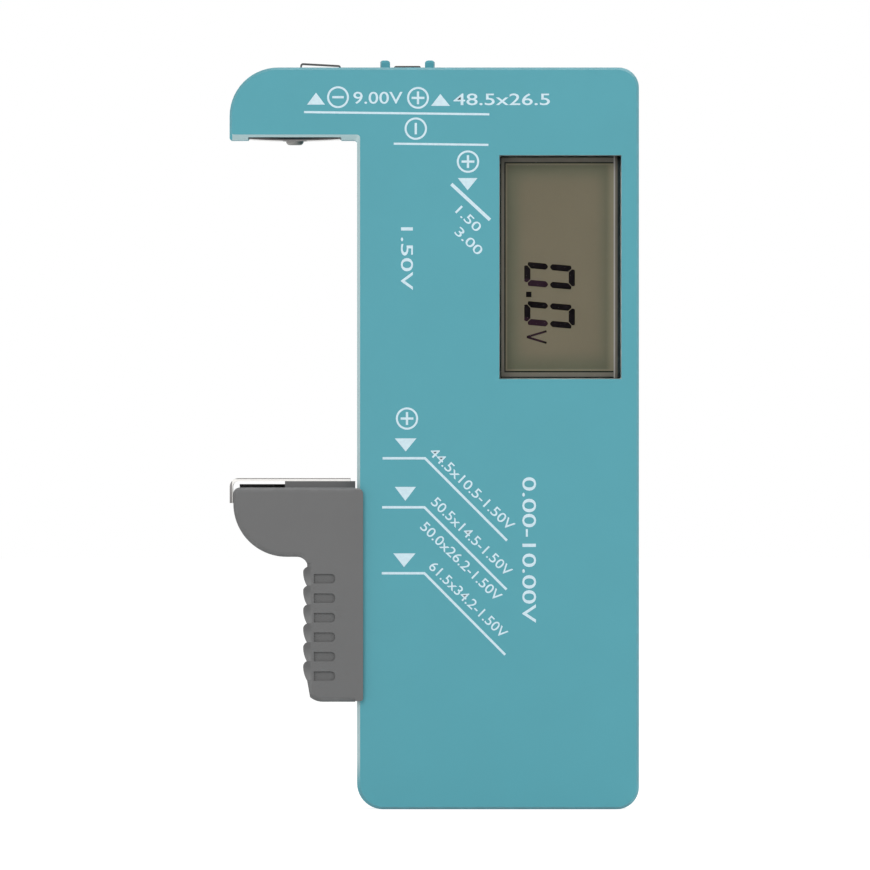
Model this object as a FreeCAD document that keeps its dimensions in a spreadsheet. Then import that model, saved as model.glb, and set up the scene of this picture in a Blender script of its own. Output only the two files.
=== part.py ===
"""Hand-held battery tester: a C-shaped two-shell case, a display and a sliding contact jaw.

Frame: X to the right and Z up as seen from the front, Y into the depth, millimetres.
The case stands on its base with the origin at the middle of the base face.
"Out" below is the distance towards the front, which is minus Y.
"""
import FreeCAD, Part
import math
import os
from types import SimpleNamespace

import Sketcher

Vector = FreeCAD.Vector

SIZES = [
    # Case
    ("case_height", 110.0, "base to top face"),
    ("body_width", 41.8, "width of the upright body"),
    ("arm_reach", 18.9, "arm beyond the body's bay wall"),
    ("arm_height", 10.75, "top face to the arm's underside"),
    ("case_depth", 24.2, "front face to rear face"),
    ("side_wall", 1.8, "wall round the case"),
    ("face_wall", 2.0, "front and rear plates"),
    ("parting_out", 3.0, "joint of the covers, towards the front from mid depth"),
    ("arm_nose_round", 7.2, "upper corner of the arm's end"),
    ("arm_tip_round", 0.3, "lower corner of the arm's end"),
    ("top_round", 3.0, "upper corner of the body"),
    ("base_bay_round", 3.85, "base corner on the bay side"),
    ("base_back_round", 3.3, "base corner away from the bay"),
    ("bay_corner_round", 0.5, "inside corner of the bay"),
    ("bay_chamfer", 0.8, "bevel under the arm"),
    ("wall_chamfer", 0.45, "bevel beside the bay"),
    ("edge_bevel", 0.35, "bevel of the other face edges"),
    ("seam_bevel", 0.15, "bevel of both covers at their joint"),
    # Case screws
    ("case_screw_inset", 4.8, "screw axis from the case's outer faces"),
    ("arm_screw_inset", 6.6, "arm screw axis from the arm's end"),
    ("bay_screw_inset", 12.9, "base screw axis from the bay wall"),
    ("case_post_radius", 3.2, "screw post in the rear cover"),
    ("case_pilot_post", 2.6, "screw post in the front cover"),
    ("case_head_radius", 2.1, "screw head"),
    ("case_head_height", 1.6, "screw head"),
    ("case_head_depth", 6.0, "head's seat below the rear face"),
    ("case_shank_radius", 1.15, "screw shank"),
    ("case_thread_length", 5.5, "shank held in the front post"),
    ("screw_clearance", 0.1, "round a shank, head or pin"),
    # Slider travel
    ("slot_width", 6.0, "slot in the bay wall"),
    ("slide_clearance", 0.3, "between slider and case"),
    ("travel_down", 13.0, "opens for the longest cell"),
    ("travel_up", 48.0, "closes on a button cell"),
    # Slider
    ("jaw_top", 47.7, "jaw's plastic top above the base, as parked"),
    ("slider_length", 31.76, "jaw top to grip end"),
    ("jaw_height", 10.27, "jaw top to its underside"),
    ("jaw_round", 7.9, "round of the jaw's underside"),
    ("jaw_top_round", 0.9, "round of the jaw's tip"),
    ("grip_width", 8.0, "grip beyond the bay wall"),
    ("grip_neck_round", 0.9, "inside corner under the jaw"),
    ("grip_end_round", 2.9, "outer corner of the grip's end"),
    ("slider_proud", 0.8, "slider in front of the front face"),
    ("slider_rear_gap", 0.2, "slider short of the rear face"),
    ("slider_edge", 0.7, "rounding of the slider's edges"),
    ("lip_width", 0.9, "lip over the bay bevel"),
    ("lip_thickness", 0.55, "lip in front of the bay bevel"),
    ("lip_inset", 0.1, "lip short of the slider's ends"),
    ("lip_top_round", 0.8, "upper corner of the lip"),
    ("lip_end_round", 0.4, "lower corner of the lip"),
    ("tooth_pitch", 2.8, "grip teeth"),
    ("tooth_depth", 0.6, "grip teeth"),
    ("tooth_round", 4.0, "bulge of a grip tooth"),
    ("tooth_head", 0.6, "height of a tooth's rounded head"),
    ("tooth_head_round", 0.65, "round of a tooth's head"),
    ("tooth_flat", 0.06, "outermost flat of a tooth"),
    ("neck_rise", 0.5, "notch above the first tooth"),
    ("neck_notch_round", 1.6, "notch above the first tooth"),
    ("grip_slope", 1.15, "slope of the grip below the last tooth"),
    ("grip_edge_width", 1.4, "rounded outer edges of the grip"),
    ("grip_edge_round", 1.75, "rounded outer edges of the grip"),
    ("tooth_start", 1.57, "jaw underside to first tooth"),
    ("bar_start", 3.23, "jaw underside to the first hollow's middle"),
    ("bar_pitch", 2.89, "grip hollows"),
    ("bar_height", 1.4, "grip hollows"),
    ("bar_length", 3.15, "grip hollows"),
    ("bar_round", 0.6, "end of a grip hollow"),
    ("bar_depth", 0.4, "grip hollows"),
    ("bar_inset", 1.6, "hollow's end from the grip's edge"),
    ("neck_top_drop", 1.7, "jaw top to neck"),
    ("neck_length", 27.5, "part of the slider in the slot"),
    ("foot_width", 10.4, "foot behind the bay wall, along the depth"),
    ("foot_thickness", 2.0, "foot behind the bay wall"),
    # Slider contact and wiper
    ("seat_height", 0.95, "contact's seat on the jaw"),
    ("seat_length", 10.4, "contact's seat on the jaw"),
    ("seat_width", 17.0, "contact's seat along the depth"),
    ("rib_height", 0.5, "stop under the contact's free end"),
    ("rib_width", 5.0, "stop under the contact's free end"),
    ("strip_thickness", 0.45, "slider contact"),
    ("strip_width", 16.0, "slider contact along the depth"),
    ("strip_bend", 1.3, "outside bend at the jaw's tip"),
    ("strip_turn_down", 3.7, "length of the turned-down end"),
    ("strip_gap", 0.1, "contact clear of the jaw's tip"),
    ("tail_width", 4.0, "contact's tail"),
    ("tail_inset", 0.7, "tail from the slider's wall side"),
    ("tail_drop", 4.6, "jaw top to where the tail turns"),
    ("tail_length", 7.0, "tail on the foot"),
    ("tail_clearance", 0.15, "round the tail in its slit"),
    ("wiper_thickness", 0.3, "wiper leaf"),
    ("wiper_width", 3.8, "wiper fingers across the rail"),
    ("wiper_base", 4.8, "wiper base along the depth"),
    ("finger_length", 10.0, "wiper fingers along the rail"),
    ("finger_gap", 0.8, "between the fingers"),
    ("wiper_gap", 0.06, "finger above the rail"),
    ("wiper_screw_radius", 0.7, "wiper screw"),
    ("wiper_screw_length", 3.6, "wiper screw in the foot"),
    ("wiper_head_radius", 1.4, "wiper screw"),
    ("wiper_head_height", 0.8, "wiper screw"),
    # Contact rail
    ("rail_width", 4.0, "rail across"),
    ("rail_thickness", 0.4, "rail"),
    ("rail_height", 2.5, "ledge under the rail"),
    ("rail_start", 7.0, "rail's lower end above the base"),
    ("rail_length", 89.0, "rail"),
    ("rail_foot_gap", 0.65, "rail beside the foot"),
    ("pin_radius", 0.7, "pins that hold the rail"),
    ("pin_height", 1.0, "pins above the ledge"),
    ("pin_inset", 1.5, "pin from the rail's end"),
    # Arm contact
    ("arm_plate_start", 2.9, "contact from the arm's end"),
    ("arm_plate_length", 13.5, "arm contact"),
    ("arm_plate_width", 22.6, "arm contact along the depth"),
    ("arm_recess", 0.4, "channel under the arm for its contact"),
    ("arm_plate_bow", 0.25, "bow of the arm contact"),
    ("contact_thickness", 0.25, "arm and nine volt contacts"),
    ("dimple_radius", 1.3, "dimple of the arm contact"),
    ("dimple_height", 0.6, "dimple of the arm contact"),
    ("tab_width", 4.0, "contact tabs along the depth"),
    ("tab_length", 2.4, "contact tabs inside the case"),
    ("tab_clearance", 0.15, "round a tab in its slit"),
    # Nine volt contacts
    ("negative_start", 10.45, "negative contact from the arm's end"),
    ("negative_length", 6.05, "negative contact"),
    ("negative_width", 6.0, "negative contact along the depth"),
    ("negative_rise", 0.72, "negative contact above the top face"),
    ("negative_fall", 0.28, "slope of the negative contact"),
    ("negative_bend", 0.42, "outside bends of the negative contact"),
    ("snap_pitch", 12.9, "middle of one contact to the other"),
    ("positive_length", 4.0, "positive contact"),
    ("positive_rise", 0.32, "positive contact above the top face"),
    ("positive_bend", 0.3, "outside bends of the positive contact"),
    ("guard_inner", 2.9, "guard ribs round the positive contact"),
    ("guard_outer", 4.05, "guard ribs round the positive contact"),
    ("guard_height", 1.15, "guard ribs"),
    ("guard_half", 1.3, "guard ribs, half length along the depth"),
    ("guard_round", 0.4, "guard ribs, upper edges"),
    # Display
    ("window_width", 18.1, "opening in the front cover"),
    ("window_height", 33.2, "opening in the front cover"),
    ("window_side", 2.6, "opening from the side of the case"),
    ("window_drop", 13.0, "opening from the top face"),
    ("lens_gap", 0.12, "lens in its opening"),
    ("lens_recess", 0.3, "lens below the front face"),
    ("lens_bevel", 0.8, "bevel round the lens"),
    ("lens_flange", 0.4, "lens edge behind the opening"),
    ("lens_flange_thickness", 1.15, "lens edge behind the opening"),
    ("seat_gap", 0.05, "stacked display pieces"),
    ("mask_border", 1.0, "mask inside the opening"),
    ("mask_thickness", 0.3, "mask"),
    ("glass_inset", 0.2, "display glass inside the opening"),
    ("glass_thickness", 0.9, "each sheet of the display"),
    ("glass_ledge", 2.5, "front sheet beyond the rear one"),
    ("holder_wall", 0.75, "holder round the glass"),
    ("holder_ledge", 1.0, "ledge under the glass"),
    ("holder_gap", 0.1, "glass in its holder"),
    ("elastic_width", 2.0, "elastic connector"),
    ("elastic_end", 2.0, "connector short of the glass"),
    ("glass_lift", 2.1, "glass above the board"),
    # Circuit board
    ("board_thickness", 1.6, "circuit board"),
    ("board_left", 5.9, "board beyond the opening, bay side"),
    ("board_right", 0.3, "board from the side wall"),
    ("board_above", 4.2, "board above the opening"),
    ("board_below", 14.3, "board below the opening"),
    ("board_post_radius", 2.0, "posts under the board"),
    ("board_screw_radius", 0.85, "board screws"),
    ("board_screw_length", 4.0, "board screws in their posts"),
    ("board_head_radius", 1.7, "board screws"),
    ("board_head_height", 1.1, "board screws"),
    ("board_screw_inset", 2.7, "board screws from the board's edge"),
    ("blob_radius", 5.0, "controller under its cover of resin"),
    ("blob_height", 1.6, "controller under its cover of resin"),
    ("blob_round", 1.3, "edge of the resin"),
    ("coil_radius", 3.2, "inductor"),
    ("coil_waist", 2.5, "inductor's winding"),
    ("coil_height", 5.0, "inductor"),
    ("coil_flange", 0.9, "inductor's end plates"),
    ("can_radius", 2.5, "capacitor"),
    ("can_height", 7.0, "capacitor"),
    ("can_round", 0.5, "capacitor's rim"),
    ("resistor_radius", 1.2, "load resistors"),
    ("resistor_length", 6.5, "load resistors"),
    ("resistor_lift", 0.5, "load resistors above the board"),
    ("lead_radius", 0.3, "load resistors' leads"),
    ("lead_reach", 1.0, "leads beyond the resistor"),
    ("chip_length", 2.0, "small parts on the board"),
    ("chip_width", 1.25, "small parts on the board"),
    ("chip_height", 0.8, "small parts on the board"),
    ("chip_pitch", 3.0, "small parts on the board"),
    # Leads
    ("wire_radius", 0.5, "insulated leads"),
    ("pad_inset", 2.4, "solder pads from the board's edge"),
    ("pad_drop", 3.0, "first solder pad from the board's top"),
    ("pad_pitch", 3.8, "between solder pads"),
]

TOOTH_COUNT = 6
RESISTOR_COUNT = 2
CHIP_COUNT = 5
GUARD_SIDES = (-1, 1)
LEAD_BEND_SHARE = 0.45
DIMPLE_ROUND_SHARE = 0.9

doc = FreeCAD.newDocument("battery_tester")
sheet = doc.addObject("Spreadsheet::Sheet", "sizes")


class Size:
    """A length known both as a number and as a formula of the sheet's cells."""

    def __init__(self, value, formula):
        self.value = value
        self.formula = formula

    def __add__(self, other):
        other = as_size(other)
        return Size(self.value + other.value, f"({self.formula} + {other.formula})")

    def __sub__(self, other):
        other = as_size(other)
        return Size(self.value - other.value, f"({self.formula} - {other.formula})")

    def __mul__(self, number):
        return Size(self.value * number, f"({self.formula} * {number!r})")

    def __truediv__(self, number):
        return Size(self.value / number, f"({self.formula} / {number!r})")

    def __neg__(self):
        return Size(-self.value, f"(0 - {self.formula})")


def as_size(number):
    return number if isinstance(number, Size) else Size(float(number), repr(float(number)))


def fill_sheet():
    """Write each driving size into the sheet and return them by name."""
    named = {}
    for row, (alias, value, note) in enumerate(SIZES, start=1):
        sheet.set(f"A{row}", alias.replace("_", " "))
        sheet.set(f"B{row}", str(value))
        sheet.set(f"C{row}", note)
        sheet.setAlias(f"B{row}", alias)
        named[alias] = Size(value, f"sizes.{alias}")
    doc.recompute()
    return SimpleNamespace(**named)


dim = fill_sheet()
ZERO = as_size(0)

# Places that several pieces share
right = dim.body_width / 2
bay_wall = -right
arm_end = bay_wall - dim.arm_reach
arm_under = dim.case_height - dim.arm_height
front = dim.case_depth / 2
rear = -front
parting = dim.parting_out
inner_front = front - dim.face_wall
inner_rear = rear + dim.face_wall
bay_inside = bay_wall + dim.side_wall
half_slot = dim.slot_width / 2

slider_right = bay_wall - dim.slide_clearance
jaw_tip = arm_end + dim.strip_thickness + dim.strip_gap
jaw_under = dim.jaw_top - dim.jaw_height
grip_left = bay_wall - dim.grip_width
grip_end = dim.jaw_top - dim.slider_length
slider_front = front + dim.slider_proud
slider_rear = rear + dim.slider_rear_gap
neck_top = dim.jaw_top - dim.neck_top_drop
neck_bottom = neck_top - dim.neck_length
foot_outer = bay_inside + dim.slide_clearance
foot_inner = foot_outer + dim.foot_thickness
seat_top = dim.jaw_top + dim.seat_height
tail_right = slider_right - dim.tail_inset
tail_left = tail_right - dim.strip_thickness
tail_turn = dim.jaw_top - dim.tail_drop
tail_end = tail_turn - dim.tail_length
wiper_face = foot_inner + dim.strip_thickness
wiper_inner = wiper_face + dim.wiper_thickness
wiper_screw_level = tail_turn - dim.tail_length / 2

rail_left = foot_inner + dim.rail_foot_gap
rail_middle = rail_left + dim.rail_width / 2
rail_right = rail_left + dim.rail_width
rail_seat = inner_rear + dim.rail_height
rail_top = rail_seat + dim.rail_thickness
rail_end = dim.rail_start + dim.rail_length
pin_levels = (dim.rail_start + dim.pin_inset, rail_end - dim.pin_inset)

plate_left = arm_end + dim.arm_plate_start
plate_right = plate_left + dim.arm_plate_length
negative_left = arm_end + dim.negative_start
negative_right = negative_left + dim.negative_length
positive_middle = negative_left + dim.negative_length / 2 + dim.snap_pitch
positive_left = positive_middle - dim.positive_length / 2
positive_right = positive_middle + dim.positive_length / 2

window_right = right - dim.window_side
window_left = window_right - dim.window_width
window_top = dim.case_height - dim.window_drop
window_bottom = window_top - dim.window_height
glass_left = window_left + dim.glass_inset
glass_right = window_right - dim.glass_inset
glass_bottom = window_bottom + dim.glass_inset
glass_top = window_top - dim.glass_inset
lens_back = inner_front - dim.seat_gap - dim.lens_flange_thickness
mask_back = lens_back - dim.seat_gap - dim.mask_thickness
glass_front = mask_back - dim.seat_gap
glass_middle = glass_front - dim.glass_thickness
glass_back = glass_middle - dim.glass_thickness
board_front = glass_back - dim.glass_lift
board_back = board_front - dim.board_thickness
board_left = window_left - dim.board_left
board_right = right - dim.side_wall - dim.board_right
board_top = window_top + dim.board_above
board_bottom = window_bottom - dim.board_below

case_screws = (
    (arm_end + dim.arm_screw_inset, dim.case_height - dim.arm_height / 2),
    (right - dim.case_screw_inset, dim.case_height - dim.case_screw_inset),
    (right - dim.case_screw_inset, dim.case_screw_inset),
    (bay_wall + dim.bay_screw_inset, dim.case_screw_inset),
)
board_screws = (
    (board_left + dim.board_screw_inset, board_bottom + dim.board_screw_inset),
    (board_right - dim.board_screw_inset, board_bottom + dim.board_screw_inset),
    (board_left + dim.board_screw_inset, window_bottom + dim.window_height / 2),
)


# Sketches and features

def new_body(label):
    body = doc.addObject("PartDesign::Body", label)
    body.Label = label
    return body


def sketch_on(body, name, role, offset):
    """A sketch parallel to one of the body's origin planes, moved along its normal."""
    sketch = body.newObject("Sketcher::SketchObject", name)
    plane = [item for item in body.Origin.OriginFeatures if item.Role == role][0]
    sketch.AttachmentSupport = [(plane, "")]
    sketch.MapMode = "FlatFace"
    sketch.AttachmentOffset = FreeCAD.Placement(Vector(0, 0, offset.value), FreeCAD.Rotation())
    sketch.setExpression("AttachmentOffset.Base.z", offset.formula)
    return sketch


def front_sketch(body, name, out):
    """Seen from the front: across is X, up is Z, and the normal points out."""
    return sketch_on(body, name, "XZ_Plane", out)


def plan_sketch(body, name, level):
    """Seen from above: across is X, up is Y."""
    return sketch_on(body, name, "XY_Plane", level)


def side_sketch(body, name, across):
    """Seen along X: across is Y, up is Z."""
    return sketch_on(body, name, "YZ_Plane", across)


def bind(sketch, constraint, size):
    index = sketch.addConstraint(constraint)
    name = f"size{index}"
    sketch.renameConstraint(index, name)
    sketch.setExpression(f"Constraints.{name}", size.formula)


def arc_between(start, end, radius, turn):
    """The arc shorter than a half circle from start to end, turn 1 anticlockwise."""
    chord = end - start
    middle = (start + end) / 2
    rise = math.sqrt(max(radius * radius - chord.Length * chord.Length / 4, 0.0))
    across = Vector(-chord.y, chord.x, 0).normalize()
    centre = middle + across * (rise * turn)
    first, last = (start, end) if turn > 0 else (end, start)
    begin = math.atan2(first.y - centre.y, first.x - centre.x)
    stop = math.atan2(last.y - centre.y, last.x - centre.x)
    circle = Part.Circle(centre, Vector(0, 0, 1), radius)
    return Part.ArcOfCircle(circle, begin, stop)


def profile(sketch, steps):
    """Close a profile through steps of (x, y, arc); arc is None or (radius, turn) to the next."""
    spots = [Vector(x.value, y.value, 0) for x, y, arc in steps]
    ends = []
    count = len(steps)
    for index, (x, y, arc) in enumerate(steps):
        start = spots[index]
        end = spots[(index + 1) % count]
        if arc is None:
            piece = sketch.addGeometry(Part.LineSegment(start, end), False)
            ends.append((piece, 1, 2))
            continue
        radius, turn = arc
        piece = sketch.addGeometry(arc_between(start, end, radius.value, turn), False)
        ends.append((piece, 1, 2) if turn > 0 else (piece, 2, 1))
    for index in range(count):
        piece, begin, finish = ends[index]
        following, start_point, _ = ends[(index + 1) % count]
        sketch.addConstraint(Sketcher.Constraint("Coincident", piece, finish, following, start_point))
    for index, (x, y, arc) in enumerate(steps):
        piece, begin, finish = ends[index]
        bind(sketch, Sketcher.Constraint("DistanceX", -1, 1, piece, begin, x.value), x)
        bind(sketch, Sketcher.Constraint("DistanceY", -1, 1, piece, begin, y.value), y)
        if arc is not None:
            bind(sketch, Sketcher.Constraint("Radius", piece, arc[0].value), arc[0])


def rounded(sketch, corners):
    """Close a profile of level and upright sides; each corner is (x, y, radius or None)."""
    steps = []
    count = len(corners)
    for index, (x, y, radius) in enumerate(corners):
        if radius is None:
            steps.append((x, y, None))
            continue
        before = corners[index - 1]
        after = corners[(index + 1) % count]
        came = heading(before, corners[index])
        goes = heading(corners[index], after)
        turn = 1 if came[0] * goes[1] - came[1] * goes[0] > 0 else -1
        steps.append((x - radius * came[0], y - radius * came[1], (radius, turn)))
        steps.append((x + radius * goes[0], y + radius * goes[1], None))
    profile(sketch, steps)


def heading(start, end):
    across = end[0].value - start[0].value
    up = end[1].value - start[1].value
    if abs(across) > abs(up):
        return (math.copysign(1, across), 0)
    return (0, math.copysign(1, up))


def rectangle(sketch, left, bottom, wide_to, high_to, radius=None):
    rounded(sketch, [(left, bottom, radius), (wide_to, bottom, radius),
                     (wide_to, high_to, radius), (left, high_to, radius)])


def circle(sketch, x, y, radius):
    spot = Vector(x.value, y.value, 0)
    piece = sketch.addGeometry(Part.Circle(spot, Vector(0, 0, 1), radius.value), False)
    bind(sketch, Sketcher.Constraint("DistanceX", -1, 1, piece, 3, x.value), x)
    bind(sketch, Sketcher.Constraint("DistanceY", -1, 1, piece, 3, y.value), y)
    bind(sketch, Sketcher.Constraint("Radius", piece, radius.value), radius)


def feature(body, kind, name, sketch, length, backwards=False, both_ways=False):
    item = body.newObject(f"PartDesign::{kind}", name)
    item.Profile = sketch
    item.Reversed = backwards
    if both_ways:
        item.Midplane = True
    item.setExpression("Length", length.formula)
    sketch.Visibility = False
    return item


def pad(body, name, sketch, length, backwards=False, both_ways=False):
    item = feature(body, "Pad", name, sketch, length, backwards, both_ways)
    doc.recompute()
    return item


def pocket(body, name, sketch, length, backwards=False, both_ways=False):
    """Cut along the sketch's normal reversed, or along it when backwards; it must cut."""
    before = body.Shape.Volume
    item = feature(body, "Pocket", name, sketch, length, backwards, both_ways)
    doc.recompute()
    if body.Shape.Volume > before - 1e-6:
        raise RuntimeError(f"{body.Label}: {name} cuts nothing")
    return item


def dress(body, kind, name, size, test):
    """Fillet or chamfer the edges of the body that pass the test."""
    base = body.Tip
    names = [f"Edge{n}" for n, edge in enumerate(base.Shape.Edges, start=1) if test(edge)]
    if not names:
        raise RuntimeError(f"{body.Label}: {name} finds no edges")
    item = body.newObject(f"PartDesign::{kind}", name)
    item.Base = (base, names)
    item.setExpression("Radius" if kind == "Fillet" else "Size", size.formula)
    doc.recompute()
    return item


def lies_out(edge, out):
    """The edge lies in the plane at that distance towards the front."""
    return all(abs(-point.y - out.value) < 1e-4 for point in edge.discretize(5))


def runs_between(edge, axis, low, high):
    """The whole edge lies between two values of one coordinate."""
    return all(low.value - 1e-4 < point[axis] < high.value + 1e-4 for point in edge.discretize(5))


# Case

def case_outline(sketch, inset, wall_inset, arm_inset):
    """The case seen from the front, drawn in by inset, with its own insets beside the bay and under the arm."""
    base = inset
    top = dim.case_height - inset
    far = right - inset
    bay = bay_wall + wall_inset
    under = arm_under + arm_inset
    end = arm_end + inset
    hollow = inset.value >= dim.side_wall.value
    rounded(sketch, [
        (bay, base, dim.base_bay_round - inset),
        (far, base, dim.base_back_round - inset),
        (far, top, dim.top_round - inset),
        (end, top, dim.arm_nose_round - inset),
        (end, under, None if hollow else dim.arm_tip_round),
        (bay, under, None if hollow else dim.bay_corner_round),
    ])


def case_block(body, face, joint, towards_front):
    """A solid half of the case, bevelled at the joint and at its face, and more round the bay."""
    way = 1 if towards_front else -1
    seam = joint + dim.seam_bevel * way
    shoulder = face - dim.bay_chamfer * way
    outline = front_sketch(body, "outline", seam)
    case_outline(outline, ZERO, ZERO, ZERO)
    pad(body, "block", outline, (shoulder - seam) * way, backwards=not towards_front)
    bevel(body, "seam", seam, joint, dim.seam_bevel, dim.seam_bevel, dim.seam_bevel)
    bevel(body, "face", shoulder, face, dim.edge_bevel, dim.wall_chamfer, dim.bay_chamfer)


def bevel(body, name, start, end, inset, wall_inset, arm_inset):
    """A slanted layer from the full outline to one drawn in."""
    full = front_sketch(body, f"{name}_start", start)
    case_outline(full, ZERO, ZERO, ZERO)
    drawn_in = front_sketch(body, f"{name}_end", end)
    case_outline(drawn_in, inset, wall_inset, arm_inset)
    layer = body.newObject("PartDesign::AdditiveLoft", f"{name}_bevel")
    layer.Profile = full
    layer.Sections = [drawn_in]
    layer.Ruled = True
    doc.recompute()


def make_front_cover():
    body = new_body("front_cover")
    case_block(body, front, parting, towards_front=True)
    hollow = front_sketch(body, "inside", parting)
    case_outline(hollow, dim.side_wall, dim.side_wall, dim.side_wall)
    pocket(body, "hollow", hollow, inner_front - parting, backwards=True)
    window = front_sketch(body, "window", front)
    rectangle(window, window_left, window_bottom, window_right, window_top)
    pocket(body, "opening", window, dim.face_wall)
    posts = front_sketch(body, "posts", inner_front)
    for x, z in case_screws:
        circle(posts, x, z, dim.case_pilot_post)
    pad(body, "case_posts", posts, inner_front - parting, backwards=True)
    rests = front_sketch(body, "rests", inner_front)
    for x, z in board_screws:
        circle(rests, x, z, dim.board_post_radius)
    pad(body, "board_posts", rests, inner_front - board_front, backwards=True)
    pilots = front_sketch(body, "pilots", parting)
    for x, z in case_screws:
        circle(pilots, x, z, dim.case_shank_radius)
    pocket(body, "case_pilots", pilots, dim.case_thread_length + dim.screw_clearance, backwards=True)
    bores = front_sketch(body, "bores", board_front)
    for x, z in board_screws:
        circle(bores, x, z, dim.board_screw_radius)
    pocket(body, "board_pilots", bores, dim.board_screw_length + dim.screw_clearance, backwards=True)
    cut_arm_channel(body, -front, -parting)


def make_rear_cover():
    body = new_body("rear_cover")
    case_block(body, rear, parting, towards_front=False)
    hollow = front_sketch(body, "inside", parting)
    case_outline(hollow, dim.side_wall, dim.side_wall, dim.side_wall)
    pocket(body, "hollow", hollow, parting - inner_rear)
    slot = side_sketch(body, "slot", bay_wall)
    rectangle(slot, -parting, neck_bottom - dim.travel_down - dim.slide_clearance,
              half_slot, neck_top + dim.travel_up + dim.slide_clearance)
    pocket(body, "slider_slot", slot, dim.side_wall, backwards=True)
    posts = front_sketch(body, "posts", inner_rear)
    for x, z in case_screws:
        circle(posts, x, z, dim.case_post_radius)
    pad(body, "case_posts", posts, parting - inner_rear)
    seats = front_sketch(body, "seats", rear)
    for x, z in case_screws:
        circle(seats, x, z, dim.case_head_radius + dim.screw_clearance)
    pocket(body, "head_seats", seats, dim.case_head_depth, backwards=True)
    bores = front_sketch(body, "bores", rear)
    for x, z in case_screws:
        circle(bores, x, z, dim.case_shank_radius + dim.screw_clearance)
    pocket(body, "shank_bores", bores, parting - rear, backwards=True)
    ledge = front_sketch(body, "ledge", inner_rear)
    rectangle(ledge, rail_left, dim.rail_start, rail_right, rail_end)
    pad(body, "rail_ledge", ledge, dim.rail_height)
    pins = front_sketch(body, "pins", rail_seat)
    for level in pin_levels:
        circle(pins, rail_middle, level, dim.pin_radius)
    pad(body, "rail_pins", pins, dim.pin_height)
    cut_arm_channel(body, -parting, dim.arm_plate_width / 2 + dim.tab_clearance)
    cut_contact_slits(body)
    add_guards(body)


def cut_arm_channel(body, start, end):
    """The shallow channel across the arm's underside that the arm contact lies in."""
    channel = plan_sketch(body, "arm_channel_outline", arm_under)
    room = dim.tab_clearance
    rectangle(channel, plate_left - room, start, plate_right + room, end)
    pocket(body, "arm_channel", channel, dim.arm_recess, backwards=True)


def cut_contact_slits(body):
    """Slits for the tabs of the contacts on the arm and the top face."""
    half_tab = dim.tab_width / 2 + dim.tab_clearance
    thick = dim.contact_thickness + dim.tab_clearance
    top_slits = plan_sketch(body, "top_slits", dim.case_height)
    for left, far in ((negative_left, negative_right), (positive_left, positive_right)):
        rectangle(top_slits, left - dim.tab_clearance, -half_tab, left + thick, half_tab)
        rectangle(top_slits, far - thick, -half_tab, far + dim.tab_clearance, half_tab)
    pocket(body, "top_tab_slits", top_slits, dim.side_wall)
    arm_slits = plan_sketch(body, "arm_slits", arm_under)
    rectangle(arm_slits, plate_left - dim.tab_clearance, -half_tab, plate_left + thick, half_tab)
    rectangle(arm_slits, plate_right - thick, -half_tab, plate_right + dim.tab_clearance, half_tab)
    pocket(body, "arm_tab_slits", arm_slits, dim.side_wall, backwards=True)


def add_guards(body):
    """Two curved ribs beside the positive contact keep a reversed battery off it."""
    guards = plan_sketch(body, "guards", dim.case_height)
    half = dim.guard_half
    for side in GUARD_SIDES:
        reach_in = positive_middle + guard_reach(dim.guard_inner) * side
        reach_out = positive_middle + guard_reach(dim.guard_outer) * side
        profile(guards, [
            (reach_in, -half, None),
            (reach_out, -half, (dim.guard_outer, side)),
            (reach_out, half, None),
            (reach_in, half, (dim.guard_inner, -side)),
        ])
    pad(body, "guard_ribs", guards, dim.guard_height)
    crest = dim.case_height + dim.guard_height
    dress(body, "Fillet", "guard_crests", dim.guard_round, lambda edge: runs_between(edge, 2, crest, crest))


def guard_reach(radius):
    """Distance across from the contact's middle to a guard's corner on that radius."""
    half = dim.guard_half
    value = math.sqrt(radius.value ** 2 - half.value ** 2)
    return Size(value, f"sqrt({radius.formula} ^ 2 - {half.formula} ^ 2)")


def screw(name, x, z, head_out, head_height, head_radius, shank_radius, shank_length):
    """A screw driven towards the front, its head's seat at head_out."""
    head = doc.addObject("Part::Cylinder", f"{name}_head")
    shank = doc.addObject("Part::Cylinder", f"{name}_shank")
    for item, radius, start, length in ((head, head_radius, head_out - head_height, head_height),
                                        (shank, shank_radius, head_out, shank_length)):
        item.setExpression("Radius", radius.formula)
        item.setExpression("Height", length.formula)
        item.Placement = FreeCAD.Placement(Vector(), FreeCAD.Rotation(Vector(1, 0, 0), 90))
        item.setExpression("Placement.Base.x", x.formula)
        item.setExpression("Placement.Base.y", (-start).formula)
        item.setExpression("Placement.Base.z", z.formula)
    whole = doc.addObject("Part::Fuse", name)
    whole.Base = head
    whole.Tool = shank
    return whole


def group(label, items):
    """Separate solids that share one name."""
    whole = doc.addObject("Part::Compound", label)
    whole.Label = label
    whole.Links = items


def make_case_screws():
    seat = rear + dim.case_head_depth
    length = parting - seat + dim.case_thread_length
    group("case_screws", [
        screw(f"case_screw_{n}", x, z, seat, dim.case_head_height, dim.case_head_radius,
              dim.case_shank_radius, length)
        for n, (x, z) in enumerate(case_screws)
    ])


# Display

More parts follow.
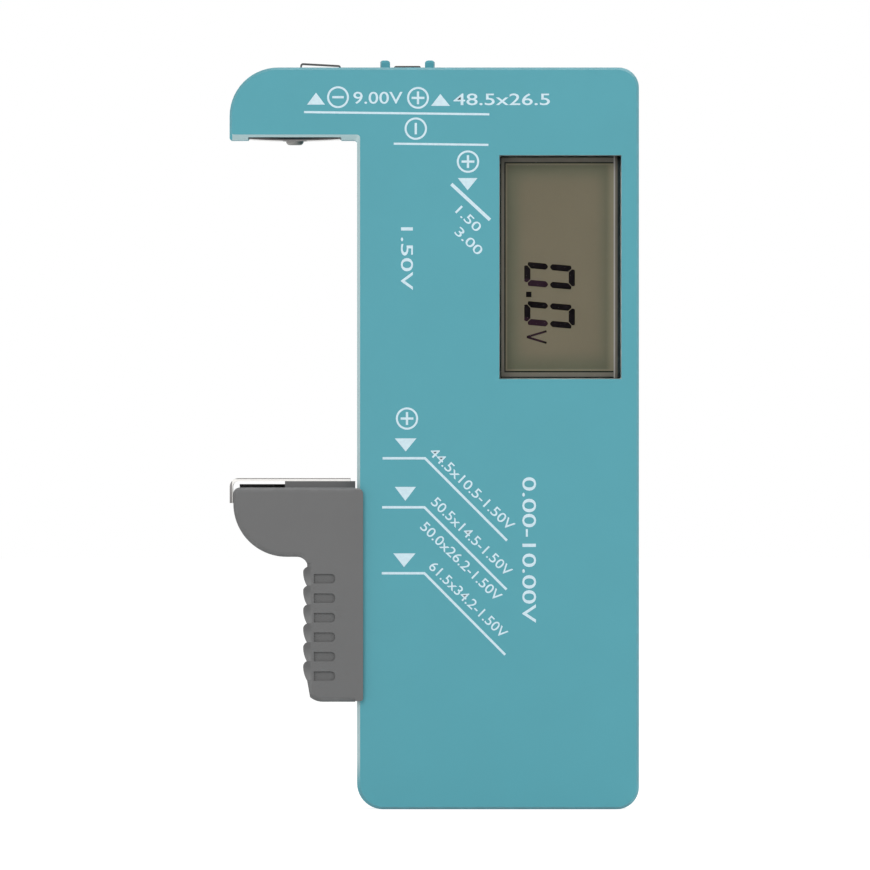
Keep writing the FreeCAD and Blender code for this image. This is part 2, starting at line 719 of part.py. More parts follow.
def make_display_lens():
    body = new_body("display_lens")
    flange = front_sketch(body, "flange", lens_back)
    rectangle(flange, window_left - dim.lens_flange, window_bottom - dim.lens_flange,
              window_right + dim.lens_flange, window_top + dim.lens_flange)
    pad(body, "edge", flange, dim.lens_flange_thickness)
    plug = front_sketch(body, "plug", lens_back + dim.lens_flange_thickness)
    rectangle(plug, window_left + dim.lens_gap, window_bottom + dim.lens_gap,
              window_right - dim.lens_gap, window_top - dim.lens_gap)
    pad(body, "pane", plug, dim.seat_gap + dim.face_wall - dim.lens_recess)
    dress(body, "Chamfer", "bevel", dim.lens_bevel, lambda edge: lies_out(edge, front - dim.lens_recess))


def make_display_mask():
    body = new_body("display_mask")
    ring = front_sketch(body, "ring", mask_back)
    rectangle(ring, glass_left, glass_bottom, glass_right, glass_top)
    rectangle(ring, window_left + dim.mask_border, window_bottom + dim.mask_border,
              window_right - dim.mask_border, window_top - dim.mask_border)
    pad(body, "frame", ring, dim.mask_thickness)


def make_display_panel():
    body = new_body("display_panel")
    sheet_front = front_sketch(body, "front_sheet", glass_middle)
    rectangle(sheet_front, glass_left, glass_bottom, glass_right, glass_top)
    pad(body, "front_glass", sheet_front, dim.glass_thickness)
    sheet_rear = front_sketch(body, "rear_sheet", glass_back)
    rectangle(sheet_rear, glass_left + dim.glass_ledge, glass_bottom, glass_right, glass_top)
    pad(body, "rear_glass", sheet_rear, dim.glass_thickness)


def make_display_holder():
    body = new_body("display_holder")
    room = dim.holder_gap
    wall = dim.holder_gap + dim.holder_wall
    block = front_sketch(body, "block", board_front)
    rectangle(block, glass_left - wall, glass_bottom - wall, glass_right + wall, glass_top + wall)
    pad(body, "frame", block, glass_front - board_front)
    bed = front_sketch(body, "bed", glass_front)
    rectangle(bed, glass_left - room, glass_bottom - room, glass_right + room, glass_top + room)
    pocket(body, "glass_bed", bed, glass_front - glass_back)
    well = front_sketch(body, "well", glass_back)
    rectangle(well, glass_left - room, glass_bottom + dim.holder_ledge,
              glass_right - dim.holder_ledge, glass_top - dim.holder_ledge)
    pocket(body, "open_middle", well, glass_back - board_front)


def make_elastic_connector():
    body = new_body("elastic_connector")
    strip = front_sketch(body, "strip", board_front)
    rectangle(strip, glass_left + dim.holder_gap, glass_bottom + dim.elastic_end,
              glass_left + dim.holder_gap + dim.elastic_width, glass_top - dim.elastic_end)
    pad(body, "bar", strip, glass_middle - board_front)


# Circuit board and its parts

def make_circuit_board():
    body = new_body("circuit_board")
    plate = front_sketch(body, "plate", board_back)
    rectangle(plate, board_left, board_bottom, board_right, board_top)
    for x, z in board_screws:
        circle(plate, x, z, dim.board_screw_radius + dim.screw_clearance)
    pad(body, "laminate", plate, dim.board_thickness)


def make_board_screws():
    length = dim.board_thickness + dim.board_screw_length
    group("board_screws", [
        screw(f"board_screw_{n}", x, z, board_back, dim.board_head_height, dim.board_head_radius,
              dim.board_screw_radius, length)
        for n, (x, z) in enumerate(board_screws)
    ])


def make_controller():
    body = new_body("controller_blob")
    dab = front_sketch(body, "dab", board_back)
    circle(dab, window_left + dim.window_width / 2, window_bottom + dim.window_height / 2, dim.blob_radius)
    pad(body, "resin", dab, dim.blob_height, backwards=True)
    dress(body, "Fillet", "dome", dim.blob_round, lambda edge: lies_out(edge, board_back - dim.blob_height))


def make_inductor():
    body = new_body("boost_inductor")
    x = window_left + dim.coil_radius
    z = board_bottom + dim.board_below / 2
    plates = dim.coil_height - dim.coil_flange
    for name, start, radius, length in (("lower_plate", ZERO, dim.coil_radius, dim.coil_flange),
                                        ("winding", dim.coil_flange, dim.coil_waist, plates),
                                        ("upper_plate", plates, dim.coil_radius, dim.coil_flange)):
        ring = front_sketch(body, f"{name}_circle", board_back - start)
        circle(ring, x, z, radius)
        pad(body, name, ring, length, backwards=True)


def make_capacitor():
    body = new_body("smoothing_capacitor")
    can = front_sketch(body, "can", board_back)
    circle(can, window_left + dim.window_width / 2 + dim.can_radius, board_bottom + dim.board_below / 2,
           dim.can_radius)
    pad(body, "case", can, dim.can_height, backwards=True)
    dress(body, "Fillet", "rim", dim.can_round, lambda edge: lies_out(edge, board_back - dim.can_height))


def make_load_resistors():
    """Two resistors stand off the board on their bent leads, one beside the other."""
    items = []
    axis_out = board_back - dim.resistor_lift - dim.resistor_radius
    for n in range(RESISTOR_COUNT):
        x = window_right - dim.resistor_radius * (2 + 3 * n)
        low = window_bottom + dim.resistor_radius
        high = low + dim.resistor_length
        body = cylinder(f"resistor_{n}", x, axis_out, low, dim.resistor_radius, dim.resistor_length)
        axis = cylinder(f"resistor_{n}_axis", x, axis_out, low - dim.lead_reach, dim.lead_radius,
                        dim.resistor_length + dim.lead_reach * 2)
        legs = []
        for level in (low - dim.lead_reach, high + dim.lead_reach):
            leg = cylinder(f"resistor_{n}_leg", x, axis_out, level, dim.lead_radius, board_back - axis_out)
            leg.Placement = FreeCAD.Placement(leg.Placement.Base, FreeCAD.Rotation(Vector(1, 0, 0), 90))
            legs.append(leg)
        whole = doc.addObject("Part::MultiFuse", f"resistor_{n}_whole")
        whole.Shapes = [body, axis] + legs
        items.append(whole)
    group("load_resistors", items)


def cylinder(name, x, out, level, radius, length):
    """An upright cylinder whose lower end is at that place."""
    item = doc.addObject("Part::Cylinder", name)
    item.setExpression("Radius", radius.formula)
    item.setExpression("Height", length.formula)
    item.setExpression("Placement.Base.x", x.formula)
    item.setExpression("Placement.Base.y", (-out).formula)
    item.setExpression("Placement.Base.z", level.formula)
    return item


def make_small_parts():
    """Small resistors and capacitors in a row above the controller."""
    items = []
    level = window_top - dim.chip_pitch
    for n in range(CHIP_COUNT):
        chip = doc.addObject("Part::Box", f"chip_{n}")
        chip.setExpression("Length", dim.chip_width.formula)
        chip.setExpression("Width", dim.chip_height.formula)
        chip.setExpression("Height", dim.chip_length.formula)
        chip.setExpression("Placement.Base.x", (window_left + dim.chip_pitch * n).formula)
        chip.setExpression("Placement.Base.y", (-board_back).formula)
        chip.setExpression("Placement.Base.z", level.formula)
        items.append(chip)
    group("small_parts", items)


# Fixed contacts

def make_arm_contact():
    """A bowed plate in the arm's channel with two tabs up through slits and a dimple in the middle."""
    body = new_body("arm_contact")
    thick = dim.contact_thickness
    low = arm_under + dim.arm_recess - thick
    lowest = low - dim.arm_plate_bow
    bow = bow_radius(dim.arm_plate_length, dim.arm_plate_bow)
    face = front_sketch(body, "plate", ZERO)
    profile(face, [
        (plate_left, low, (bow, 1)),
        (plate_right, low, None),
        (plate_right, low + thick, (bow, -1)),
        (plate_left, low + thick, None),
    ])
    pad(body, "strip", face, dim.arm_plate_width, both_ways=True)
    ends = front_sketch(body, "ends", ZERO)
    for left in (plate_left, plate_right - thick):
        rectangle(ends, left, low + thick / 2, left + thick, arm_under + dim.side_wall + dim.tab_length)
    pad(body, "tabs", ends, dim.tab_width, both_ways=True)
    bump = plan_sketch(body, "bump", lowest + thick / 2)
    circle(bump, (plate_left + plate_right) / 2, ZERO, dim.dimple_radius)
    pad(body, "dimple", bump, dim.dimple_height + thick / 2, backwards=True)
    dress(body, "Fillet", "dimple_round", dim.dimple_height * DIMPLE_ROUND_SHARE,
          lambda edge: runs_between(edge, 2, lowest - dim.dimple_height, lowest - dim.dimple_height))


def bow_radius(length, bow):
    """Radius of an arc of that length whose middle stands off by bow."""
    value = (length.value ** 2 / 4 + bow.value ** 2) / (2 * bow.value)
    formula = f"(({length.formula} ^ 2 / 4 + {bow.formula} ^ 2) / (2 * {bow.formula}))"
    return Size(value, formula)


def bridge(label, left, far, width, rise_left, rise_right, bend):
    """A bent strip over the top face whose ends go down through slits."""
    body = new_body(label)
    thick = dim.contact_thickness
    top = dim.case_height
    inside = bend - thick
    span = front_sketch(body, "span", ZERO)
    rounded(span, [
        (left, top, None),
        (left + thick, top, None),
        (left + thick, top + rise_left - thick, inside),
        (far - thick, top + rise_right - thick, inside),
        (far - thick, top, None),
        (far, top, None),
        (far, top + rise_right, bend),
        (left, top + rise_left, bend),
    ])
    pad(body, "strip", span, width, both_ways=True)
    legs = front_sketch(body, "legs", ZERO)
    for side in (left, far - thick):
        rectangle(legs, side, top - dim.side_wall - dim.tab_length, side + thick, top)
    pad(body, "tabs", legs, dim.tab_width, both_ways=True)


def make_nine_volt_contacts():
    bridge("nine_volt_negative_contact", negative_left, negative_right, dim.negative_width,
           dim.negative_rise, dim.negative_rise - dim.negative_fall, dim.negative_bend)
    bridge("nine_volt_positive_contact", positive_left, positive_right, dim.tab_width,
           dim.positive_rise, dim.positive_rise, dim.positive_bend)


def make_contact_rail():
    body = new_body("contact_rail")
    face = front_sketch(body, "face", rail_seat)
    rectangle(face, rail_left, dim.rail_start, rail_right, rail_end)
    for level in pin_levels:
        circle(face, rail_middle, level, dim.pin_radius + dim.screw_clearance)
    pad(body, "strip", face, dim.rail_thickness)


# Leads

def lead(label, points):
    """An insulated lead through points of (x, out, z), with the widest arcs its runs allow."""
    spots = [Vector(x.value, -out.value, z.value) for x, out, z in points]
    edges = []
    here = spots[0]
    for before, corner, after in zip(spots, spots[1:], spots[2:]):
        came = (corner - before).normalize()
        goes = (after - corner).normalize()
        turn = came.getAngle(goes)
        reach = LEAD_BEND_SHARE * min((corner - before).Length, (after - corner).Length)
        start = corner - came * reach
        end = corner + goes * reach
        radius = reach / math.tan(turn / 2)
        middle = corner + (goes - came).normalize() * (radius / math.cos(turn / 2) - radius)
        print(label, "bend radius", round(radius, 2))
        edges.append(Part.LineSegment(here, start).toShape())
        edges.append(Part.Arc(start, middle, end).toShape())
        here = end
    edges.append(Part.LineSegment(here, spots[-1]).toShape())
    spine = Part.Wire(edges)
    first = (spots[1] - spots[0]).normalize()
    ring = Part.Wire(Part.Circle(spots[0], first, dim.wire_radius.value).toShape())
    item = doc.addObject("Part::Feature", label)
    item.Label = label
    item.Shape = spine.makePipeShell([ring], True, False)


def make_leads():
    pad_x = board_left + dim.pad_inset
    first_pad = board_top - dim.pad_drop
    inside_top = dim.case_height - dim.side_wall - dim.tab_length / 2
    inside_arm = arm_under + dim.side_wall + dim.tab_length / 2
    run = board_left - positive_right
    near = board_back - dim.wire_radius * 8
    lead("positive_lead", [
        (positive_right, ZERO, inside_top),
        (positive_right + run * 0.4, ZERO, inside_top),
        (pad_x - run * 0.2, near, first_pad + dim.pad_pitch * 0.6),
        (pad_x, near + dim.wire_radius * 2, first_pad),
        (pad_x, board_back, first_pad),
    ])
    lead("negative_lead", [
        (negative_right, ZERO, inside_top),
        (negative_right + run * 0.6, ZERO, inside_top),
        (negative_right + run * 1.2, ZERO, inside_top - dim.tab_length * 0.9),
        (positive_right, -dim.tab_width * 0.5, inside_top - dim.tab_length * 1.3),
        (pad_x - run * 0.2, near, first_pad - dim.pad_pitch * 0.6),
        (pad_x, near + dim.wire_radius * 2, first_pad - dim.pad_pitch),
        (pad_x, board_back, first_pad - dim.pad_pitch),
    ])
    lead("arm_lead", [
        (plate_right, ZERO, inside_arm),
        (plate_right + run, ZERO, inside_arm),
        (positive_right, -dim.tab_width * 0.5, inside_arm - dim.tab_length),
        (pad_x - run * 0.2, near, first_pad - dim.pad_pitch * 1.7),
        (pad_x, near + dim.wire_radius * 2, first_pad - dim.pad_pitch * 2),
        (pad_x, board_back, first_pad - dim.pad_pitch * 2),
    ])
    rail_level = rail_end - dim.pin_inset * 3
    lead("rail_lead", [
        (rail_middle, rail_top, rail_level),
        (rail_middle, rail_top + dim.wire_radius * 4, rail_level),
        (rail_right + run * 0.3, rail_top + dim.wire_radius * 7, rail_level - dim.pad_pitch * 0.5),
        (pad_x - run * 0.2, near, first_pad - dim.pad_pitch * 3 + dim.wire_radius * 2),
        (pad_x, near + dim.wire_radius * 2, first_pad - dim.pad_pitch * 3),
        (pad_x, board_back, first_pad - dim.pad_pitch * 3),
    ])


# Slider

def make_slider():
    body = new_body("slider")
    outline = front_sketch(body, "outline", slider_rear)
    rounded(outline, [
        (slider_right, grip_end, None),
        (slider_right, dim.jaw_top, None),
        (jaw_tip, dim.jaw_top, dim.jaw_top_round),
        (jaw_tip, jaw_under, dim.jaw_round),
        (grip_left, jaw_under, dim.grip_neck_round),
        (grip_left, grip_end, dim.grip_end_round),
    ])
    pad(body, "jaw_and_grip", outline, slider_front - slider_rear)

    def outer_edge(edge):
        at_face = lies_out(edge, slider_front) or lies_out(edge, slider_rear)
        return at_face and not runs_between(edge, 0, slider_right, slider_right)

    dress(body, "Fillet", "edge_round", dim.slider_edge, outer_edge)
    lip = front_sketch(body, "lip", slider_front)
    lip_end = slider_right + dim.slide_clearance + dim.lip_width
    rounded(lip, [
        (slider_right, grip_end + dim.lip_inset, None),
        (lip_end, grip_end + dim.lip_inset, dim.lip_end_round),
        (lip_end, dim.jaw_top - dim.lip_inset, dim.lip_top_round),
        (slider_right, dim.jaw_top - dim.lip_inset, None),
    ])
    pad(body, "front_lip", lip, dim.lip_thickness, backwards=True)
    neck = front_sketch(body, "neck", ZERO)
    rectangle(neck, slider_right, neck_bottom, foot_outer, neck_top)
    pad(body, "neck_bar", neck, dim.slot_width - dim.slide_clearance * 2, both_ways=True)
    foot = front_sketch(body, "foot", ZERO)
    rectangle(foot, foot_outer, neck_bottom, foot_inner, neck_top)
    pad(body, "foot_bar", foot, dim.foot_width, both_ways=True)
    add_contact_seat(body)
    round_grip_edges(body)
    cut_grip(body)
    cut_tail_slit(body)


def add_contact_seat(body):
    """A raised seat under the contact's fixed end and a low stop under its free end."""
    half_seat = dim.seat_width / 2
    half_rib = dim.rib_width / 2
    seat_left = slider_right - dim.seat_length
    seat = plan_sketch(body, "seat", dim.jaw_top)
    rectangle(seat, seat_left, -half_seat, slider_right, half_seat)
    pad(body, "contact_seat", seat, dim.seat_height)
    stop = plan_sketch(body, "stop", dim.jaw_top)
    rectangle(stop, jaw_tip + dim.jaw_top_round, -half_rib, seat_left, half_rib)
    pad(body, "contact_stop", stop, dim.rib_height)


def round_grip_edges(body):
    """Take the grip's two long outer edges off more than the jaw's."""
    wide = dim.grip_edge_width
    edges = plan_sketch(body, "grip_edges", grip_end)
    edge_cuts = ((-slider_front, wide - slider_front, -1), (-slider_rear, -slider_rear - wide, 1))
    for face, inner, turn in edge_cuts:
        profile(edges, [
            (grip_left, face, None),
            (grip_left + wide, face, (dim.grip_edge_round, turn)),
            (grip_left, inner, None),
        ])
    pocket(body, "grip_edge_cuts", edges, jaw_under - dim.grip_neck_round - grip_end, backwards=True)


def cut_grip(body):
    """Round-headed teeth down the grip's edge, and a hollow beside each tooth on both faces."""
    first = jaw_under - dim.tooth_start
    valley = grip_left + dim.tooth_depth
    head = (dim.tooth_head_round, 1)
    back = (dim.tooth_round, 1)
    teeth = front_sketch(body, "teeth", slider_rear)
    profile(teeth, [
        (grip_left, first - dim.tooth_head, None),
        (grip_left - dim.grip_neck_round, jaw_under, (dim.neck_notch_round, -1)),
        (valley, first + dim.neck_rise, None),
        (valley, first, head),
    ])
    for n in range(TOOTH_COUNT):
        top = first - dim.tooth_pitch * n
        crest = top - dim.tooth_head - dim.tooth_flat
        below = top - dim.tooth_pitch
        if n < TOOTH_COUNT - 1:
            profile(teeth, [
                (grip_left, crest, back),
                (valley, below, head),
                (grip_left, below - dim.tooth_head, None),
            ])
        else:
            profile(teeth, [
                (grip_left, crest, back),
                (valley, below, None),
                (grip_left + dim.grip_slope, grip_end, None),
                (grip_left, grip_end, None),
            ])
    pocket(body, "grip_teeth", teeth, slider_front - slider_rear, backwards=True)
    left = grip_left + dim.bar_inset
    half = dim.bar_height / 2
    faces = (("front_hollows", slider_front, False), ("rear_hollows", slider_rear, True))
    for name, out, backwards in faces:
        hollows = front_sketch(body, f"{name}_outline", out)
        for n in range(TOOTH_COUNT):
            middle = jaw_under - dim.bar_start - dim.bar_pitch * n
            rounded(hollows, [
                (left, middle - half, None),
                (left + dim.bar_length, middle - half, dim.bar_round),
                (left + dim.bar_length, middle + half, dim.bar_round),
                (left, middle + half, None),
            ])
        pocket(body, name, hollows, dim.bar_depth, backwards=backwards)


def cut_tail_slit(body):
    """The slit that takes the contact's tail through the neck, and the wiper screw's hole."""
    room = dim.tail_clearance
    slit = front_sketch(body, "slit", ZERO)
    rounded(slit, [
        (tail_left - room, seat_top, None),
        (tail_left - room, tail_turn - room, None),
        (foot_inner, tail_turn - room, None),
        (foot_inner, tail_turn + dim.strip_thickness + room, None),
        (tail_right + room, tail_turn + dim.strip_thickness + room, None),
        (tail_right + room, seat_top, None),
    ])
    pocket(body, "tail_slit", slit, dim.tail_width + room * 2, both_ways=True)
    hole = side_sketch(body, "hole", foot_inner)
    circle(hole, ZERO, wiper_screw_level, dim.wiper_screw_radius)
    pocket(body, "screw_hole", hole, dim.wiper_screw_length + dim.screw_clearance)


def make_slider_contact():
    """A leaf over the jaw, turned down at the tip, with a tail through the neck to the foot."""
    body = new_body("slider_contact")
    thick = dim.strip_thickness
    top = seat_top + thick
    leaf = front_sketch(body, "leaf", ZERO)
    rounded(leaf, [
        (tail_right, seat_top, None),
        (tail_right, top, None),
        (arm_end, top, dim.strip_bend),
        (arm_end, top - dim.strip_turn_down, None),
        (arm_end + thick, top - dim.strip_turn_down, None),
        (arm_end + thick, seat_top, dim.strip_bend - thick),
    ])
    pad(body, "contact_leaf", leaf, dim.strip_width, both_ways=True)
    tail = front_sketch(body, "tail", ZERO)
    rounded(tail, [
        (tail_left, seat_top, None),
        (tail_left, tail_turn, None),
        (foot_inner, tail_turn, None),
        (foot_inner, tail_end, None),
        (wiper_face, tail_end, None),
        (wiper_face, tail_turn + thick, None),
        (tail_right, tail_turn + thick, None),
        (tail_right, seat_top, None),
    ])
    pad(body, "contact_tail", tail, dim.tail_width, both_ways=True)
    hole = side_sketch(body, "hole", wiper_face)
    circle(hole, ZERO, wiper_screw_level, dim.wiper_screw_radius + dim.screw_clearance)
    pocket(body, "screw_hole", hole, thick)


def make_slider_wiper():
    """A base screwed to the foot and two fingers that slope down on to the rail."""
    body = new_body("slider_wiper")
    thick = dim.wiper_thickness
    half_base = dim.wiper_base / 2
    base = side_sketch(body, "base", wiper_face)
    rectangle(base, -half_base, tail_end, half_base, tail_turn - dim.strip_thickness)
    circle(base, ZERO, wiper_screw_level, dim.wiper_screw_radius + dim.screw_clearance)
    pad(body, "base_plate", base, thick)
    low = -(rail_top + dim.wiper_gap)
    bend = tail_end
    touch = bend - dim.finger_length
    fingers = side_sketch(body, "fingers", wiper_face)
    profile(fingers, [
        (half_base - thick, tail_turn - dim.strip_thickness, None),
        (half_base - thick, bend, None),
        (low - thick, touch, None),
        (low - thick * 3, touch - thick * 4, None),
        (low - thick * 2, touch - thick * 4, None),
        (low, touch, None),
        (half_base, bend, None),
        (half_base, tail_turn - dim.strip_thickness, None),
    ])
    pad(body, "shelf_and_fingers", fingers, dim.wiper_width)
    split = front_sketch(body, "split", -half_base)
    middle = wiper_face + dim.wiper_width / 2
    rectangle(split, middle - dim.finger_gap / 2, touch - thick * 5, middle + dim.finger_gap / 2, bend)
    pocket(body, "finger_split", split, -(rail_top + half_base), backwards=False)


def make_wiper_screw():
    """A screw along X through the wiper and the contact's tail into the foot."""
    head = doc.addObject("Part::Cylinder", "wiper_screw_head")
    shank = doc.addObject("Part::Cylinder", "wiper_screw_shank")
    start = foot_inner - dim.wiper_screw_length
    for item, radius, left, length in ((head, dim.wiper_head_radius, wiper_inner, dim.wiper_head_height),
                                       (shank, dim.wiper_screw_radius, start, wiper_inner - start)):
        item.setExpression("Radius", radius.formula)
        item.setExpression("Height", length.formula)
        item.Placement = FreeCAD.Placement(Vector(), FreeCAD.Rotation(Vector(0, 1, 0), 90))
        item.setExpression("Placement.Base.x", left.formula)
        item.setExpression("Placement.Base.z", wiper_screw_level.formula)
    whole = doc.addObject("Part::Fuse", "wiper_screw")
    whole.Label = "wiper_screw"
    whole.Base = head
    whole.Tool = shank


NODES = [
    "front_cover", "rear_cover", "case_screws",
    "display_lens", "display_mask", "display_panel", "display_holder", "elastic_connector",
    "circuit_board", "board_screws", "controller_blob", "boost_inductor", "smoothing_capacitor",
    "load_resistors", "small_parts",
    "arm_contact", "nine_volt_negative_contact", "nine_volt_positive_contact", "contact_rail",
    "positive_lead", "negative_lead", "arm_lead", "rail_lead",
    "slider", "slider_contact", "slider_wiper", "wiper_screw",
]
SOLID_COUNTS = {
    "case_screws": len(case_screws),
    "board_screws": len(board_screws),
    "load_resistors": RESISTOR_COUNT,
    "small_parts": CHIP_COUNT,
}


def build():
    make_front_cover()
    make_rear_cover()
    make_case_screws()
    make_display_lens()
    make_display_mask()
    make_display_panel()
    make_display_holder()
    make_elastic_connector()
    make_circuit_board()
    make_board_screws()
    make_controller()
    make_inductor()
    make_capacitor()
    make_load_resistors()
    make_small_parts()
    make_arm_contact()
    make_nine_volt_contacts()
    make_contact_rail()
    make_leads()
    make_slider()
    make_slider_contact()
    make_slider_wiper()
    make_wiper_screw()
    doc.recompute()


def check():
    for item in doc.Objects:
        if "Invalid" in item.State or "Error" in item.State:
            raise RuntimeError(f"{item.Label} failed: {item.State}")
    for label in NODES:
        shape = doc.getObjectsByLabel(label)[0].Shape
        wanted = SOLID_COUNTS.get(label, 1)
        if shape.isNull() or not shape.isValid() or len(shape.Solids) != wanted:
            raise RuntimeError(f"{label} should be {wanted} valid solids")


def write():
    os.makedirs("parts", exist_ok=True)
    for label in NODES:
        doc.getObjectsByLabel(label)[0].Shape.exportStep(f"parts/{label}.step")


build()
check()
write()
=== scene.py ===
"""Looks of a hand-held battery tester: finishes, printed marks, display digits, screws and stage.

Tables are in millimetres and everything else in metres, with X to the right, Y away from the viewer
and Z up, as the tester is seen from the front.
"""
import math

import bmesh
import bpy
import numpy as np
from bpy.props import FloatProperty, FloatVectorProperty, PointerProperty
from bpy.types import Operator, Panel, PropertyGroup
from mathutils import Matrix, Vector


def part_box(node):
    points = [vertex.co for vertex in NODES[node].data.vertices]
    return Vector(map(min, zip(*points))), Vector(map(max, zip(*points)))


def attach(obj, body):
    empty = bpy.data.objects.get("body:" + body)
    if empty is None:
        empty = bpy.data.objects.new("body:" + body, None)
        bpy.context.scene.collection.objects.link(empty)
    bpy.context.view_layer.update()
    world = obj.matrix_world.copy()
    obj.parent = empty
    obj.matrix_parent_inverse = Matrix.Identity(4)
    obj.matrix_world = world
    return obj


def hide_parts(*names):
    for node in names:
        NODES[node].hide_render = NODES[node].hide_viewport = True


bl_info = {
    "name": "Battery Tester Looks",
    "version": (1, 0, 0),
    "blender": (4, 5, 0),
    "location": "View3D > Sidebar > Tester",
    "description": "Finishes, printed marks, display digits, screws and stage of a battery tester",
    "category": "Object",
}

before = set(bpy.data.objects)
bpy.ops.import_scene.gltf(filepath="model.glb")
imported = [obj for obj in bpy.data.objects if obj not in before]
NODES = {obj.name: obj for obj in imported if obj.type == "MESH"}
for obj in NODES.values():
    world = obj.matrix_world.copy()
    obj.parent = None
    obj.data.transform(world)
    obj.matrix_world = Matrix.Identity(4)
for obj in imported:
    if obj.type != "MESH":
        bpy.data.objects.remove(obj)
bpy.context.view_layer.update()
MM = 0.001
FACE_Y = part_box("front_cover")[0].y
PANEL_LOW, PANEL_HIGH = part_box("display_panel")
SMOOTH_ANGLE = math.radians(35)
MERGE_DISTANCE = 1e-8

# Parts of the direction that a face points in, from 0 to 1: what counts as leaning, slanted and so on
LEANING = 0.3
SLANTED = (0.2, 0.97)
SHEARED = 0.7
FLAT_ON = 0.9

# Painted highlight on the bevels round the bay: between these places, and above these levels
WALL_BEVEL = (-21.2 * MM, -19.5 * MM)
WALL_BEVEL_FOOT = (3.0 * MM, 8.0 * MM)
ARM_BEVEL = (-39.4 * MM, -20.0 * MM)
ARM_BEVEL_LEVEL = 98.5 * MM

# Painted shading of the jaw: light and shade on the teeth, shade in the hollows and a highlight at the lip
FIRST_TOOTH = 35.99 * MM
TOOTH_PITCH = 2.8 * MM
TOOTH_SHADE = (0.15, 0.9)
TEETH = 6
GRIP_EDGE = -27.5 * MM
GRIP_EDGE_FADE = 0.5 * MM
HOLLOW_END = -23.9 * MM
HOLLOW_DEPTHS = (11.8 * MM, 12.8 * MM)
# Band of the painted highlight at the lip, and its even and patchy shares
LIP_LINE = (47.34 * MM, 47.62 * MM)
LIP_HIGHLIGHT_EVEN, LIP_HIGHLIGHT_PATCHY = 0.3, 0.6

# Edges of the contact strips, where shade and highlights are painted
DIMPLE_HEIGHT = 0.62 * MM
STRIP_SIDE = 0.36 * MM
STRIP_TOP = 0.14 * MM

# Display window, and its border by distance inwards: (start, end) of each change. The border's dark lines
# are painted shadow and its pale strip painted light. The left side starts a little inside the window, and
# at the two ends a distance counts for less.
WINDOW_LOW = Vector((0.2, 0, 63.8)) * MM
WINDOW_HIGH = Vector((18.3, 0, 97.0)) * MM
BORDER_INSET = 0.02 * MM
BORDER_ENDS = 0.78
PAST_DARK = (0.22 * MM, 0.38 * MM)
AT_LINE = (0.76 * MM, 0.79 * MM)
PAST_LINE = (0.93 * MM, 0.96 * MM)
PAST_PALE = (1.02 * MM, 1.32 * MM)
# Right side: painted shade, grey, then a painted glint with painted light beside it
RIGHT_GREY = (0.50 * MM, 0.70 * MM)
RIGHT_GLINT = (0.92 * MM, 0.97 * MM)
PAST_GLINT = (1.10 * MM, 1.16 * MM)
BESIDE_GLINT = (15.9 * MM, 17.2 * MM)
RIM_START = Vector((4.0, 0, 4.5)) * MM
RIM_END = 1.0 * MM
BEHIND_PANE_GLOSS = 0.05
FILM_BACK, FILM_FRONT = 0.005 * MM, 0.015 * MM

# Segments with a purple cast: where they end on the right, the levels of their middles, half their
# height, and the shares of the cast
CAST_RIGHT = 7.45 * MM
CAST_LEVELS = (77.95 * MM, 72.2 * MM, 70.1 * MM)
CAST_HALF = 0.75 * MM
CAST_EVEN, CAST_CLOUDED, CAST_ELSEWHERE = 0.5, 0.5, 0.12

# Printed marks on the front face: (left, right, level) of an arrow's base, and its point
ARROWS = [
    ((-28.32, -25.65, 104.49), (-26.98, 106.26)),
    ((-9.93, -7.12, 104.30), (-8.55, 106.08)),
    ((-5.96, -3.04, 93.60), (-4.49, 91.79)),
    ((-15.30, -12.10, 55.00), (-13.68, 53.06)),
    ((-15.30, -12.16, 47.81), (-13.74, 45.74)),
    ((-15.52, -12.23, 37.95), (-13.94, 35.92)),
]
# Polarity signs: middle, outer radius, and half lengths of the level and upright bars inside
SIGNS = [
    ((-23.72, 105.59), 1.62, 0.85, 0.0),
    ((-11.86, 105.49), 1.62, 0.95, 0.95),
    ((-12.19, 100.93), 1.66, 0.0, 0.85),
    ((-4.45, 96.04), 1.66, 0.95, 0.95),
    ((-13.49, 57.94), 1.65, 0.95, 0.95),
]
# Lines that lead from the bay to the marks: width, then the points
GUIDES = [
    (0.32, [(-28.76, 103.38), (-1.28, 103.05)]),
    (0.32, [(-15.46, 98.70), (-1.42, 98.52)]),
    (0.50, [(-6.92, 92.71), (-1.19, 87.40)]),
    (0.36, [(-17.11, 52.05), (-10.82, 52.05), (1.33, 39.85)]),
    (0.36, [(-17.17, 44.78), (-10.91, 44.78), (1.26, 32.59)]),
    (0.36, [(-17.23, 35.00), (-10.91, 35.00), (1.07, 22.91)]),
]
# Plain numbers, as cell sizes and volts: figures, lower left corner, cap height, length, turn in degrees
NUMBERS = [
    ("9.00V", (-21.45, 104.60), 1.80, 7.3, 0),
    ("48.5x26.5", (-6.60, 104.40), 1.75, 14.3, 0),
    ("1.50V", (-14.40, 86.30), 1.80, 9.3, -90),
    ("1.50", (-6.40, 88.55), 1.40, 4.4, -44),
    ("3.00", (-6.55, 85.45), 1.40, 4.9, -44),
    ("44.5x10.5-1.50V", (-10.35, 52.75), 1.50, 16.6, -44),
    ("50.5x14.5-1.50V", (-10.05, 45.35), 1.50, 15.7, -44),
    ("50.0x26.2-1.50V", (-11.65, 41.70), 1.50, 15.8, -44),
    ("61.5x34.2-1.50V", (-10.40, 35.80), 1.50, 15.2, -44),
    ("0.00-10.00V", (3.60, 49.25), 2.05, 21.6, -90),
]
FIGURE_WEIGHT = 0.006

# Display digits, read downwards: X of each foot and Z of each left side
DIGIT_STARTS = [(4.36, 80.72), (4.36, 74.92)]
POINT_MIDDLE = (4.57, 76.36)
POINT_WIDTH = 0.80
UNIT_PATHS = [[(7.22, 70.90), (4.28, 70.04)], [(4.28, 70.04), (7.22, 69.16)]]
UNIT_WIDTH = 0.32
